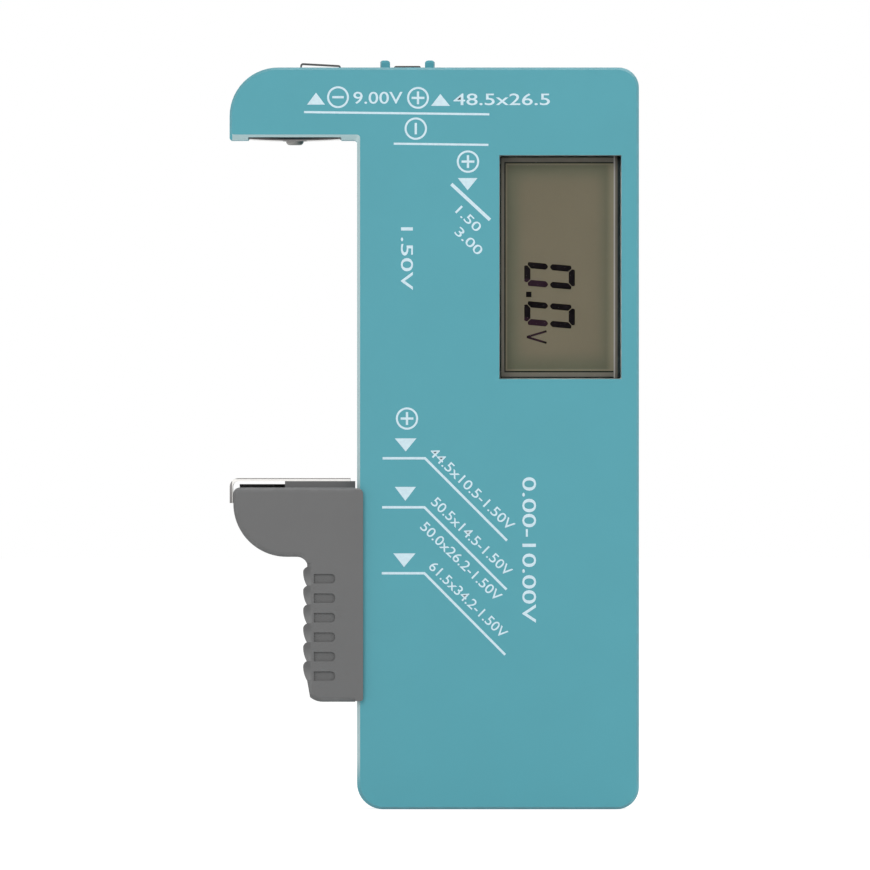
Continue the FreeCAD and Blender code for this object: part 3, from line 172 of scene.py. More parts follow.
# A nought's bars on a unit cell: start and end as (across, up), and the side that faces outwards
WAIST = 0.487
NOUGHT_BARS = [
    ((0, 1), (1, 1), (0, 1)),
    ((1, 1), (1, WAIST), (1, 0)),
    ((1, WAIST), (1, 0), (1, 0)),
    ((1, 0), (0, 0), (0, -1)),
    ((0, 0), (0, WAIST), (-1, 0)),
    ((0, WAIST), (0, 1), (-1, 0)),
]
# End of a bar from its outer side inwards: (share of the half width, setback in widths)
MITRED_END = np.array([(1.0, 0.54), (0.5, 0.42), (0.0, 0.42), (-1.0, 0.94)])
BLUNT_END = np.array([(1.0, 0.42), (0.5, 0.12), (0.0, 0.0), (-0.5, 0.12), (-1.0, 0.42)])

# Screws by node: body, axis towards the head, (head radius and height, shank radius and length),
# turn of the first recess in radians, and the middles of the heads' undersides
SCREWS = {
    "case_screws": (
        "case", (0, 1, 0), (2.1, 1.6, 1.15, 14.6), 1.0,
        [(-8.0, 6.1, 4.8), (16.1, 6.1, 4.8), (-33.2, 6.1, 104.625), (16.1, 6.1, 105.2)],
    ),
    "board_screws": (
        "case", (0, 1, 0), (1.7, 1.1, 0.85, 5.6), 0.7,
        [(-3.0, -3.0, 52.2), (16.1, -3.0, 52.2), (-3.0, -3.0, 80.4)],
    ),
    "wiper_screw": ("jaw", (1, 0, 0), (1.4, 0.8, 0.7, 4.35), 0.5, [(-16.05, 0.0, 39.6)]),
}
FIT = 0.05 * MM
THREAD_PITCH = 0.9 * MM
THREAD_TOP = -0.6 * MM
NECK_LOW = -0.5 * MM
# Shares of a screw's shank radius
THREAD_DEPTH, NECK_SHARE = 0.18, 0.97
TIP_LENGTH, TIP_CURVE, TIP_SHARE = 1.6, 0.7, 0.12
# Shares of its head's height, then of its head's radius
HEAD_ROUND, RECESS_SINK = 0.45, 0.6
RECESS_ARM, RECESS_HALF, MIDDLE_SHARE = 0.62, 0.17, 0.04
RECESS_EDGE = (-0.1, 0.03)
RECESS_STEP = 0.7
SCREW_AROUND, RINGS_A_TURN, ROUND_RINGS, FACE_RINGS = 48, 8, 6, 22

# Circuit: the board's cloth and tracks, the coil's plates and turns, and the capacitor's mark
WEAVE_SCALE = 1500.0
TRACK_PITCH, TRACK_HALF, TRACK_COVER = 1.6 * MM, 0.16, 0.48
COIL_PLATE, COIL_TURN = 0.9 * MM, 0.22 * MM
MARK_DEPTH, MARK_OFFSET = 0.3 * MM, 0.8 * MM
# Rings on a load resistor: start and end from the body's foot, and colour
RESISTOR_END = 1.3 * MM
RESISTOR_RINGS = [
    ((0.9, 1.5), (0.30, 0.05, 0.02)),
    ((2.1, 2.7), (0.02, 0.02, 0.02)),
    ((3.3, 3.9), (0.35, 0.2, 0.03)),
]

# Stage: lamps with their places and the look that gives their power
LAMPS = [
    ("key_lamp", (-0.45, -1.35, 0.75), "key"),
    ("fill_lamp", (0.75, -1.15, 0.45), "fill"),
    ("back_lamp", (0.3, 1.1, 0.8), "rear"),
]
LAMP_SIZE = 0.8
LAMP_TARGET = Vector((-0.009, 0, 0.055))
CAMERA_REACH = 60
SEEN_RAYS = ("Is Camera Ray", "Is Glossy Ray", "Is Transmission Ray")
FLOOR_HALF = 12.0
FLOOR_LEVEL = -0.02 * MM
FLOOR_GLOW = 1.4
FLOOR_GLOW_SHARE = 0.6


def linear(red, green, blue):
    """A colour as seen on screen, 0 to 255, as the linear values that the shaders use."""
    shares = np.array([red, green, blue]) / 255
    return tuple(np.where(shares <= 0.04045, shares / 12.92, ((shares + 0.055) / 1.055) ** 2.4))


def colour(name, description, default):
    """A setting that is a colour, in linear values."""
    return FloatVectorProperty(name=name, description=description, default=default, subtype="COLOR",
                               size=3, min=0, max=1)


def length(name, description, default):
    """A setting that is a length or a place, in metres."""
    return FloatProperty(name=name, description=description, default=default, unit="LENGTH",
                         subtype="DISTANCE", precision=5)


def share(name, description, default):
    """A setting between 0 and 1."""
    return FloatProperty(name=name, description=description, default=default, subtype="FACTOR",
                         min=0, max=1)


def power(name, description, default):
    """A setting for the strength of a light."""
    return FloatProperty(name=name, description=description, default=default, min=0)


class CaseLook(PropertyGroup):
    """Finish of the two covers."""
    base: colour("Plastic", "Colour of the moulded covers", linear(79, 162, 175))
    # Painted highlight on the bevel round the bay
    pale: colour("Pale edge", "Colour of the bevel round the bay", linear(194, 219, 221))
    roughness: share("Roughness", "Gloss of the covers", 0.46)
    grain: length("Grain", "Size of the moulded grain", 0.35 * MM)


class SliderLook(PropertyGroup):
    """Finish of the sliding jaw."""
    base: colour("Plastic", "Colour of the jaw", linear(104, 104, 104))
    roughness: share("Roughness", "Gloss of the jaw", 0.55)
    grain: length("Grain", "Size of the moulded grain", 0.28 * MM)


class MetalLook(PropertyGroup):
    """Finish of the contacts, rail and screws."""
    plating: colour("Plating", "Colour of the nickel plating", (0.60, 0.59, 0.57))
    # Painted shade: the dark of the sheared edges and of the slider strip's outline
    painted_edge_shade: colour("Cut edge", "Colour of the sheared edges", (0.11, 0.10, 0.10))
    brass: colour("Brass", "Colour of the rail and wiper", (0.78, 0.55, 0.22))
    steel: colour("Steel", "Colour of the screws", (0.58, 0.58, 0.57))


class PrintLook(PropertyGroup):
    """Printed marks on the front cover."""
    ink: colour("Ink", "Colour of the printed marks", linear(212, 236, 249))
    film: length("Film", "Height of the ink above the face", 0.02 * MM)
    ring: length("Ring", "Width of the ring of a polarity sign", 0.30 * MM)
    bar: length("Bar", "Width of the bars in a polarity sign", 0.34 * MM)


class DisplayLook(PropertyGroup):
    """The display under its pane."""
    reflector: colour("Reflector", "Colour of the display's middle", linear(98, 91, 77))
    rim: colour("Rim", "Colour near the display's edges", linear(84, 85, 72))
    border: colour("Border", "Colour of the border under the pane", linear(103, 98, 91))
    # Painted shadow: the dark lines round the window and the dark on its right side
    painted_border_shade: colour("Border line", "Colour of the dark lines in the border", linear(26, 36, 40))
    glint: colour("Glint", "Colour of the bright edge on the right", linear(158, 153, 152))
    lit: colour("Segments", "Colour of the dark segments", linear(5, 3, 5))
    cast: colour("Cast", "Purple cast of some segments", linear(36, 18, 31))
    digit_width: length("Digit width", "Middle of one side bar to the other", 2.62 * MM)
    digit_height: length("Digit height", "Middle of the foot to middle of the head", 6.60 * MM)
    bar_width: length("Bar width", "Width of a segment", 0.92 * MM)
    bar_gap: length("Bar gap", "Half the gap between segments", 0.14 * MM)
    slant: FloatProperty(name="Slant", description="Lean of the digits", default=math.radians(5),
                         subtype="ANGLE")


class StageLook(PropertyGroup):
    """Camera, lights and floor."""
    distance: length("Distance", "Camera to the front face", 6.0)
    span: length("Span", "Width of the picture at the front face", 0.129)
    middle_x: length("Middle across", "Middle of the picture", -9.34 * MM)
    middle_z: length("Middle up", "Middle of the picture", 55.5 * MM)
    key: power("Key", "Power of the main lamp", 6.6)
    fill: power("Fill", "Power of the second lamp", 2.5)
    rear: power("Rear", "Power of the lamp behind", 4.2)
    sky: power("Sky", "Strength of the even light", 0.52)


# Materials

class Wire:
    """A socket of a node tree that can be used in sums, with numbers or other wires."""

    def __init__(self, nodes, socket):
        self.nodes = nodes
        self.socket = socket

    def math(self, operation, *values):
        """Add a Math node for these values."""
        return self.nodes.node("ShaderNodeMath", {"operation": operation}, dict(enumerate(values)))

    def __add__(self, other):
        return self.math("ADD", self, other)

    __radd__ = __add__

    def __sub__(self, other):
        return self.math("SUBTRACT", self, other)

    def __rsub__(self, other):
        return self.math("SUBTRACT", other, self)

    def __mul__(self, other):
        return self.math("MULTIPLY", self, other)

    __rmul__ = __mul__

    def __truediv__(self, other):
        return self.math("DIVIDE", self, other)

    def __rtruediv__(self, other):
        return self.math("DIVIDE", other, self)

    def __abs__(self):
        return self.math("ABSOLUTE", self)

    def __gt__(self, other):
        return self.math("GREATER_THAN", self, other)

    def __lt__(self, other):
        return self.math("LESS_THAN", self, other)

    def between(self, low, high):
        """1 between the two values and 0 outside them."""
        return (self > low) * (self < high)

    def least(self, other):
        return self.math("MINIMUM", self, other)

    def most(self, other):
        return self.math("MAXIMUM", self, other)

    def part(self):
        """What is left of the number after its whole part."""
        return self.math("FRACT", self)


class Nodes:
    """A node tree that is written as expressions."""

    def __init__(self, tree):
        self.tree = tree

    def join(self, socket, value):
        """Link a wire to a socket, or set the socket's own value."""
        if isinstance(value, Wire):
            self.tree.links.new(value.socket, socket)
        elif isinstance(socket.default_value, float):
            socket.default_value = value
        else:
            plain = tuple(value)
            socket.default_value = plain + (1,) * (len(socket.default_value) - len(plain))

    def node(self, kind, settings=None, sockets=None, output=0):
        """Add a node, give it its settings and then its sockets' values or links."""
        node = self.tree.nodes.new(kind)
        for name, value in (settings or {}).items():
            setattr(node, name, value)
        for name, value in (sockets or {}).items():
            self.join(node.inputs[name], value)
        return Wire(self, node.outputs[output])

    def axes(self, vector):
        """The three parts of a vector."""
        parts = self.node("ShaderNodeSeparateXYZ", sockets={0: vector}).socket.node
        return [Wire(self, output) for output in parts.outputs]

    def place(self):
        """Position on the piece, in metres."""
        return self.node("ShaderNodeTexCoord", output="Object")

    def facing(self):
        """The three parts of the direction that the face points in."""
        return self.axes(self.node("ShaderNodeNewGeometry", output="Normal"))

    def rays(self, *kinds):
        """1 for rays of any of these kinds and 0 for the rest."""
        total = self.node("ShaderNodeLightPath", output=kinds[0])
        for kind in kinds[1:]:
            total = total.most(self.node("ShaderNodeLightPath", output=kind))
        return total

    def noise(self, size, detail=2.0, stretch=(1, 1, 1)):
        """Cloudy pattern between 0 and 1 with features of that size."""
        mapping = self.node("ShaderNodeMapping", sockets={"Vector": self.place(), "Scale": stretch})
        sockets = {"Vector": mapping, "Scale": 1 / size, "Detail": detail}
        return self.node("ShaderNodeTexNoise", sockets=sockets)

    def blend(self, amount, first, second, strength=1):
        """First colour where the amount is 0, and second, as far as its strength goes, where it is 1."""
        factor = amount if strength == 1 else amount * strength
        sockets = {0: factor, 6: first, 7: second}
        return self.node("ShaderNodeMix", {"data_type": "RGBA"}, sockets, output=2)

    def mottle(self, pattern, rgb, darkest, lightest):
        """A colour that varies between two of its own tints."""
        return self.blend(pattern, tint(rgb, darkest), tint(rgb, lightest))

    def ramp(self, value, low, high):
        """0 below low, 1 above high and a smooth step between."""
        sockets = {"Value": value, "From Min": low, "From Max": high}
        return self.node("ShaderNodeMapRange", {"interpolation_type": "SMOOTHSTEP"}, sockets)


class Finish(Nodes):
    """A material with a main shader, whose sockets are set by name."""

    def __init__(self, name):
        self.material = bpy.data.materials.new(name)
        self.material.use_nodes = True
        super().__init__(self.material.node_tree)
        self.tree.nodes.clear()
        self.surface = self.tree.nodes.new("ShaderNodeOutputMaterial").inputs["Surface"]
        self.shader = self.tree.nodes.new("ShaderNodeBsdfPrincipled")
        self.join(self.surface, Wire(self, self.shader.outputs[0]))

    def set(self, name, value):
        """Set or link one of the main shader's sockets."""
        self.join(self.shader.inputs[name], value)

    def roughen(self, pattern, least, spread):
        """Roughness that rises by the spread as the pattern goes from 0 to 1."""
        self.set("Roughness", pattern * spread + least)

    def bump(self, height, distance, strength=0.4):
        """Small relief that tilts the light."""
        sockets = {"Height": height, "Distance": distance, "Strength": strength}
        self.set("Normal", self.node("ShaderNodeBump", sockets=sockets))

    def mix_in(self, amount, other):
        """Put another shader where the amount is 1."""
        own = Wire(self, self.shader.outputs[0])
        self.join(self.surface, self.node("ShaderNodeMixShader", sockets={0: amount, 1: own, 2: other}))


def tint(rgb, factor):
    """A colour made darker or lighter by a factor."""
    return tuple(min(part * factor, 1) for part in rgb)


def painted_bevel_highlights(finish, surface, pale):
    """A painted highlight on the bevels round the bay's front edge, paler than the case."""
    across, depth, up = finish.facing()
    x, y, z = finish.axes(finish.place())
    wall = (across < -LEANING) * x.between(*WALL_BEVEL) * finish.ramp(z, *WALL_BEVEL_FOOT)
    arm = (up < -LEANING) * x.between(*ARM_BEVEL) * (z > ARM_BEVEL_LEVEL)
    slanted, flat = SLANTED
    # The painted highlight goes on the bevel faces of the wall and under the arm
    bevel = depth.between(-flat, -slanted) * (wall + arm)
    return finish.blend(bevel, surface, pale, strength=0.9)


def grip_painted_shading(finish, surface, rgb):
    """The jaw's painted shading: light and shade on the teeth, shade in the hollows and a highlight at the
    lip.
    """
    depth = finish.facing()[1]
    x, y, z = finish.axes(finish.place())
    rows = z.between(FIRST_TOOTH - TEETH * TOOTH_PITCH, FIRST_TOOTH)
    # Painted light and shade: each tooth darker at its top and lighter at its foot, near the grip's edge
    down_tooth = finish.ramp(((FIRST_TOOTH - z) / TOOTH_PITCH).part(), *TOOTH_SHADE)
    edge = 1 - finish.ramp(x, GRIP_EDGE - GRIP_EDGE_FADE, GRIP_EDGE)
    front = abs(depth) > LEANING
    painted_scallop_shading = finish.mottle(down_tooth, rgb, darkest=0.78, lightest=1.5)
    surface = finish.blend(edge * rows * front, surface, painted_scallop_shading, strength=0.8)
    # Painted shade on the floors of the hollows
    shaded_hollows = abs(y).between(*HOLLOW_DEPTHS) * x.between(GRIP_EDGE, HOLLOW_END)
    surface = finish.blend(shaded_hollows * (abs(depth) > FLAT_ON) * rows, surface, tint(rgb, 0.87))
    # Painted highlight along the lip, patchy
    line = z.between(*LIP_LINE) * front * (LIP_HIGHLIGHT_EVEN + LIP_HIGHLIGHT_PATCHY * finish.noise(2 * MM))
    return finish.blend(line, surface, tint(rgb, 1.7))


def moulded(name, look, painted_shading, painted_shading_tone):
    """Moulded plastic: clouded colour, uneven gloss, fine grain, slanted faces lighter in patches and its
    own painted light and shade.
    """
    finish = Finish(name)
    clouded = finish.mottle(finish.noise(9 * MM, detail=3), look.base, darkest=0.965, lightest=1.035)
    # Slanted faces made lighter in patches
    patches = finish.ramp(finish.noise(1.3 * MM, detail=4), 0.35, 0.75)
    paler_slants = abs(finish.facing()[1]).between(*SLANTED) * patches
    surface = finish.blend(paler_slants, clouded, tint(look.base, 1.35), strength=0.55)
    # Painted light and shade of the piece's own: a highlight on the bay's bevels, or shading of the jaw's
    # teeth, hollows and lip
    finish.set("Base Color", painted_shading(finish, surface, painted_shading_tone))
    finish.roughen(finish.noise(2.2 * MM), least=look.roughness - 0.05, spread=0.1)
    fine = finish.noise(look.grain, detail=3) + 0.5 * finish.noise(look.grain / 4, detail=1)
    finish.bump(fine, 0.012 * MM, strength=0.5)
    return finish.material


def plated(name, look, cut_above=None, outline=None):
    """Nickel-plated strip: rolling lines along X and small stains.

    Above a level the sheared edges get painted shade, and below it the metal gets painted shade and is
    duller.
    With an outline, the sheared edges get a painted highlight, and painted shade past the outline's side
    and top.
    """
    finish = Finish(name)
    rolled = finish.noise(0.6 * MM, detail=3, stretch=(0.03, 1, 1))
    stain = finish.ramp(finish.noise(1.6 * MM, detail=3), 0.5, 0.8)
    metal = finish.mottle(rolled, look.plating, darkest=0.82, lightest=1.1)
    metal = finish.blend(stain, metal, tint(look.plating, 0.6), strength=0.25)
    dull = 2 * rolled + stain
    sheared = abs(finish.facing()[1]) > SHEARED
    x, y, z = finish.axes(finish.place())
    if cut_above is not None:
        # Painted shade on the sheared edges above the level and on all the metal below it
        cut = sheared * (z > cut_above)
        shaded_below = z < cut_above
        metal = finish.blend(shaded_below, metal, tint(look.plating, 0.62))
        metal = finish.blend(cut, metal, look.painted_edge_shade)
        dull = dull + 3 * cut + 3.5 * shaded_below
    if outline is not None:
        side, top = outline
        # Painted highlight on the sheared edges, and painted shade past the outline
        metal = finish.blend(sheared, metal, tint(look.plating, 1.32))
        metal = finish.blend(sheared * (x < side).most(z > top), metal, look.painted_edge_shade, strength=0.8)
    finish.set("Base Color", metal)
    finish.set("Metallic", 1.0)
    finish.roughen(dull, least=0.2, spread=0.1)
    finish.bump(rolled, 0.006 * MM)
    return finish.material


def plain_metal(name, rgb, rough):
    """Turned or rolled metal with fine uneven gloss."""
    finish = Finish(name)
    speckle = finish.noise(0.3 * MM, detail=4)
    finish.set("Base Color", finish.mottle(speckle, rgb, darkest=0.82, lightest=1.08))
    finish.set("Metallic", 1.0)
    finish.roughen(speckle, least=rough, spread=0.15)
    finish.bump(speckle, 0.005 * MM)
    return finish.material


def plain_body(name, rgb, rough, grain=0.5 * MM):
    """Plastic, rubber, lacquer or fired body with small changes of tone and gloss."""
    finish = Finish(name)
    speckle = finish.noise(grain, detail=3)
    finish.set("Base Color", finish.mottle(speckle, rgb, darkest=0.86, lightest=1.12))
    finish.roughen(speckle, least=rough, spread=0.14)
    finish.bump(speckle, 0.01 * MM)
    return finish.material


def clear_pane():
    """Polished clear plastic that lets the lamps through to what is behind it.

    Its index is low, so that its bevelled edge hardly bends the border's lines.
    """
    finish = Finish("clear_pane")
    finish.set("Base Color", (0.96, 0.97, 0.95))
    finish.set("Transmission Weight", 1.0)
    finish.set("IOR", 1.02)
    finish.set("Specular IOR Level", 0.2)
    finish.roughen(finish.noise(3 * MM, detail=3), least=0.01, spread=0.03)
    through = finish.node("ShaderNodeBsdfTransparent", sockets={"Color": (0.93, 0.94, 0.92)})
    finish.mix_in(finish.rays("Is Shadow Ray"), through)
    return finish.material


def bordered(finish, look, inside):
    """Lines round the window, by distance inwards: a painted shadow line, warm grey, a thin painted shadow
    line, a painted light strip, then the inside.

    The right side is painted shade, then grey, then a painted glint.
    """
    x, y, z = finish.axes(finish.place())
    ends = (z - WINDOW_LOW.z).least(WINDOW_HIGH.z - z) * BORDER_ENDS
    inward = (x - (WINDOW_LOW.x + BORDER_INSET)).least(ends)
    warm = finish.mottle(finish.noise(1.2 * MM), look.border, darkest=0.92, lightest=1.08)
    # The outer line and the thin line are painted shadow
    dark = tint(look.painted_border_shade, 0.3)
    sheet = finish.blend(finish.ramp(inward, *PAST_DARK), dark, warm)
    sheet = finish.blend(finish.ramp(inward, *AT_LINE), sheet, dark)
    # A painted light strip inside the thin line, which lifts the shade beside the mask's edge
    pale_left = 1 - finish.ramp(inward, *PAST_PALE)
    pale = finish.blend(pale_left * pale_left, inside, tint(look.reflector, 1.7), strength=0.65)
    sheet = finish.blend(finish.ramp(inward, *PAST_LINE), sheet, pale)
    # On the right: painted shade, grey, then a painted glint
    from_right = WINDOW_HIGH.x - x
    grey = tint(look.border, 0.8)
    right = finish.blend(finish.ramp(from_right, *RIGHT_GREY), look.painted_border_shade, grey)
    right = finish.blend(finish.ramp(from_right, *RIGHT_GLINT), right, look.glint)
    return finish.blend(finish.ramp(from_right, *PAST_GLINT), right, sheet)


def reflector(look):
    """Display behind its polariser: warm grey, greener and darker towards the rim, with a fine grain."""
    finish = Finish("display_reflector")
    x, y, z = finish.axes(finish.place())
    middle = (PANEL_LOW + PANEL_HIGH) / 2
    half = (PANEL_HIGH - PANEL_LOW) / 2
    side = finish.ramp(abs(x - middle.x), half.x - RIM_START.x, half.x - RIM_END)
    end = finish.ramp(abs(z - middle.z), half.z - RIM_START.z, half.z - RIM_END)
    edge = side + end - side * end
    warm = finish.mottle(finish.noise(6 * MM), look.reflector, darkest=0.95, lightest=1.05)
    surface = finish.blend(edge, warm, look.rim, strength=0.8)
    lit_side = finish.ramp(x, *BESIDE_GLINT)
    surface = finish.blend(lit_side, surface, tint(look.reflector, 1.75), strength=0.8)
    finish.set("Base Color", bordered(finish, look, surface))
    finish.roughen(finish.noise(0.2 * MM), least=0.5, spread=0.1)
    finish.set("Specular IOR Level", BEHIND_PANE_GLOSS)
    return finish.material


def border_sheet(look):
    """Sheet under the pane, printed with the window's warm grey border, with painted shadow lines and
    painted light.
    """
    finish = Finish("border_sheet")
    cloud = finish.noise(1.2 * MM)
    finish.set("Base Color", bordered(finish, look, look.reflector))
    finish.roughen(cloud, least=0.45, spread=0.15)
    finish.set("Specular IOR Level", BEHIND_PANE_GLOSS)
    finish.bump(cloud, 0.004 * MM)
    return finish.material


def segment_ink(look):
    """Dark liquid-crystal bars, the weaker ones with a purple cast."""
    finish = Finish("segment_ink")
    x, y, z = finish.axes(finish.place())
    weak = (x < CAST_RIGHT) * sum(abs(z - level) < CAST_HALF for level in CAST_LEVELS)
    cloud = finish.noise(0.9 * MM)
    cast = weak * (CAST_EVEN + CAST_CLOUDED * cloud) + CAST_ELSEWHERE * cloud
    finish.set("Base Color", finish.blend(cast, look.lit, look.cast))
    finish.roughen(finish.noise(0.8 * MM), least=0.5, spread=0.1)
    finish.set("Specular IOR Level", BEHIND_PANE_GLOSS)
    return finish.material


def laminate():
    """Circuit board: green lacquer over glass cloth, with copper tracks just showing."""
    finish = Finish("board_lacquer")
    x, y, z = finish.axes(finish.place())
    cloth = {"Vector": finish.place(), "Scale": WEAVE_SCALE}
    weave = finish.node("ShaderNodeTexChecker", sockets=cloth, output="Fac")
    lanes = abs((x / TRACK_PITCH).part() - 0.5) < TRACK_HALF
    tracks = lanes * (finish.noise(5 * MM, detail=0) > TRACK_COVER)
    green = finish.blend(weave, (0.012, 0.12, 0.045), (0.016, 0.15, 0.06), strength=0.3)
    finish.set("Base Color", finish.blend(tracks, green, (0.03, 0.24, 0.09)))
    finish.roughen(finish.noise(0.8 * MM), least=0.28, spread=0.12)
    finish.bump(tracks, 0.03 * MM, strength=0.5)
    return finish.material


def wound_coil():
    """Dark ferrite plates with fine copper turns between them."""
    finish = Finish("wound_coil")
    low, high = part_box("boost_inductor")
    x, y, z = finish.axes(finish.place())
    inside = y.between(low.y + COIL_PLATE, high.y - COIL_PLATE)
    turns = (y / COIL_TURN).part()
    copper = finish.blend(turns, (0.30, 0.09, 0.025), (0.62, 0.26, 0.09))
    speckle = finish.noise(0.4 * MM, detail=3)
    ferrite = finish.blend(speckle, (0.03, 0.03, 0.032), (0.055, 0.055, 0.058))
    finish.set("Base Color", finish.blend(inside, ferrite, copper))
    finish.set("Metallic", inside * 0.7)
    finish.roughen(1 - inside, least=0.3, spread=0.4)
    finish.bump(abs(turns - 0.5) * inside, 0.04 * MM, strength=0.6)
    return finish.material


def banded_resistor():
    """Lacquered resistor with coloured rings and bare wire legs."""
    finish = Finish("banded_resistor")
    low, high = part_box("load_resistors")
    x, y, z = finish.axes(finish.place())
    start = low.z + RESISTOR_END
    body = z.between(start, high.z - RESISTOR_END)
    speckle = finish.noise(0.5 * MM, detail=3)
    coat = finish.blend(speckle, (0.28, 0.44, 0.50), (0.36, 0.54, 0.58))
    for (first, last), ring in RESISTOR_RINGS:
        coat = finish.blend(z.between(start + first * MM, start + last * MM), coat, ring)
    bare_wire = (0.65, 0.64, 0.62)
    finish.set("Base Color", finish.blend(body, bare_wire, coat))
    finish.set("Metallic", 1 - body)
    finish.roughen(speckle, least=0.3, spread=0.1)
    finish.bump(speckle, 0.01 * MM)
    return finish.material


def capacitor_can():
    """Bare can with a dark half-moon mark on its end."""
    finish = Finish("capacitor_can")
    low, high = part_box("smoothing_capacitor")
    x, y, z = finish.axes(finish.place())
    mark = (y > high.y - MARK_DEPTH) * (x < (low.x + high.x) / 2 - MARK_OFFSET)
    speckle = finish.noise(0.25 * MM, detail=4)
    metal = finish.blend(speckle, (0.55, 0.56, 0.58), (0.7, 0.71, 0.73))
    finish.set("Base Color", finish.blend(mark, metal, (0.02, 0.02, 0.025)))
    finish.set("Metallic", 1 - mark)
    finish.roughen(speckle, least=0.32, spread=0.12)
    finish.bump(speckle, 0.006 * MM)
    return finish.material


def dress(material, *nodes):
    """Give CAD nodes a finish."""
    for node in nodes:
        if node not in NODES:
            raise RuntimeError(f"the frame has no node {node}")
        for slot in NODES[node].material_slots:
            slot.material = material


# Meshes: a shell is its points and a list of arrays of faces, one row of corners for each face

def loft(rings, closed=False):
    """Quads between neighbouring rings of points.

    A closed path joins the last ring to the first, and an open one has its two ends capped.
    """
    rings = np.asarray(rings, float)
    count, around = rings.shape[:2]
    index = np.arange(count * around).reshape(count, around)
    here = index if closed else index[:-1]
    after = np.roll(index, -1, axis=0) if closed else index[1:]
    quads = np.stack([here, np.roll(here, -1, 1), np.roll(after, -1, 1), after], -1).reshape(-1, 4)
    caps = [] if closed else [index[:1, ::-1], index[-1:]]
    return rings.reshape(-1, 3), [quads, *caps]


def slab(outline, back, front):
    """An outline of (x, z) carried straight from one depth to another."""
    flat = np.asarray(outline, float)
    depths = np.repeat([back, front], len(flat))
    both = np.vstack([flat, flat])
    rings = np.column_stack([both[:, 0], depths, both[:, 1]])
    return loft(rings.reshape(2, len(flat), 3))


def ribbon(points, width, back, front):
    """A flat line of even width along points of (x, z).

    At each point it is as wide, along the sum of its neighbours' normals, as keeps both sides parallel.
    """
    path = np.asarray(points, float)
    runs = np.diff(path, axis=0)
    runs /= np.linalg.norm(runs, axis=1, keepdims=True)
    normals = np.column_stack([-runs[:, 1], runs[:, 0]])
    before = np.vstack([normals[:1], normals])
    after = np.vstack([normals, normals[-1:]])
    mitre = before + after
    mitre /= np.sum(mitre * before, axis=1, keepdims=True)
    left = path + mitre * width / 2
    right = path - mitre * width / 2
    return slab(np.vstack([left, right[::-1]]), back, front)


def hoop(middle, inner, outer, back, front, count=72):
    """A flat ring: a rectangle of radius and depth carried round a circle."""
    turn = np.linspace(0, 2 * math.pi, count, endpoint=False)[:, None]
    radii = np.array([inner, outer, outer, inner])
    depths = np.broadcast_to([back, back, front, front], (count, 4))
    rings = np.stack([middle[0] + radii * np.cos(turn), depths, middle[1] + radii * np.sin(turn)], -1)
    return loft(rings, closed=True)


def bar_outline(start, end, side, look):
    """A display bar between two points of the cell, as corners of (across, up).

    Each end is a row of setbacks from the bar's outer side to its inner one: mitred at a corner of the
    digit, and blunt at the waist.
    """
    cell = np.array([look.digit_width, look.digit_height])
    first, last = np.array(start) * cell, np.array(end) * cell
    along = (last - first) / np.linalg.norm(last - first)
    outwards = np.array(side) * look.bar_width / 2
    ends = []
    for spot, way, height in ((first, along, start[1]), (last, -along, end[1])):
        blunt = height == WAIST
        sides, setbacks = (BLUNT_END if blunt else MITRED_END).T
        reach = look.bar_gap if blunt else look.bar_gap - look.bar_width / 2
        ends.append(spot + np.outer(sides, outwards) + np.outer(reach + look.bar_width * setbacks, way))
    return np.vstack([ends[0], ends[1][::-1]])


def figures(words, corner, height, run, degrees, back, front):
    """Plain numbers, as a solid from back to front.

    The type is scaled to a cap height and a length, and turned about its lower left corner.
    """
    curve = bpy.data.curves.new("figures", "FONT")
    curve.body = words
    curve.extrude = 0.5
    curve.offset = FIGURE_WEIGHT
    curve.resolution_u = 4
    holder = bpy.data.objects.new("figures", curve)
    bpy.context.scene.collection.objects.link(holder)
    bpy.context.view_layer.update()
    mesh = bpy.data.meshes.new_from_object(holder.evaluated_get(bpy.context.evaluated_depsgraph_get()))
    mesh.calc_loop_triangles()
    points = np.empty(len(mesh.vertices) * 3)
    mesh.vertices.foreach_get("co", points)
    triangles = np.empty(len(mesh.loop_triangles) * 3, int)
    mesh.loop_triangles.foreach_get("vertices", triangles)
    bpy.data.objects.remove(holder)
    bpy.data.curves.remove(curve)
    bpy.data.meshes.remove(mesh)
    if not len(triangles):
        raise RuntimeError(f"no figures were made for {words}")
    points = points.reshape(-1, 3)
    low, high = points.min(0), points.max(0)
    across, up, out = ((points - low) / (high - low) * (run, height, front - back)).T
    angle = math.radians(degrees)
    x = corner[0] + across * math.cos(angle) - up * math.sin(angle)
    z = corner[1] + across * math.sin(angle) + up * math.cos(angle)
    return np.column_stack([x, back + out, z]), [triangles.reshape(-1, 3)]


def step_down(value, low, high):
    """1 below low, 0 above high and a smooth step between."""
    amount = np.clip((high - value) / (high - low), 0, 1)
    return amount * amount * (3 - 2 * amount)


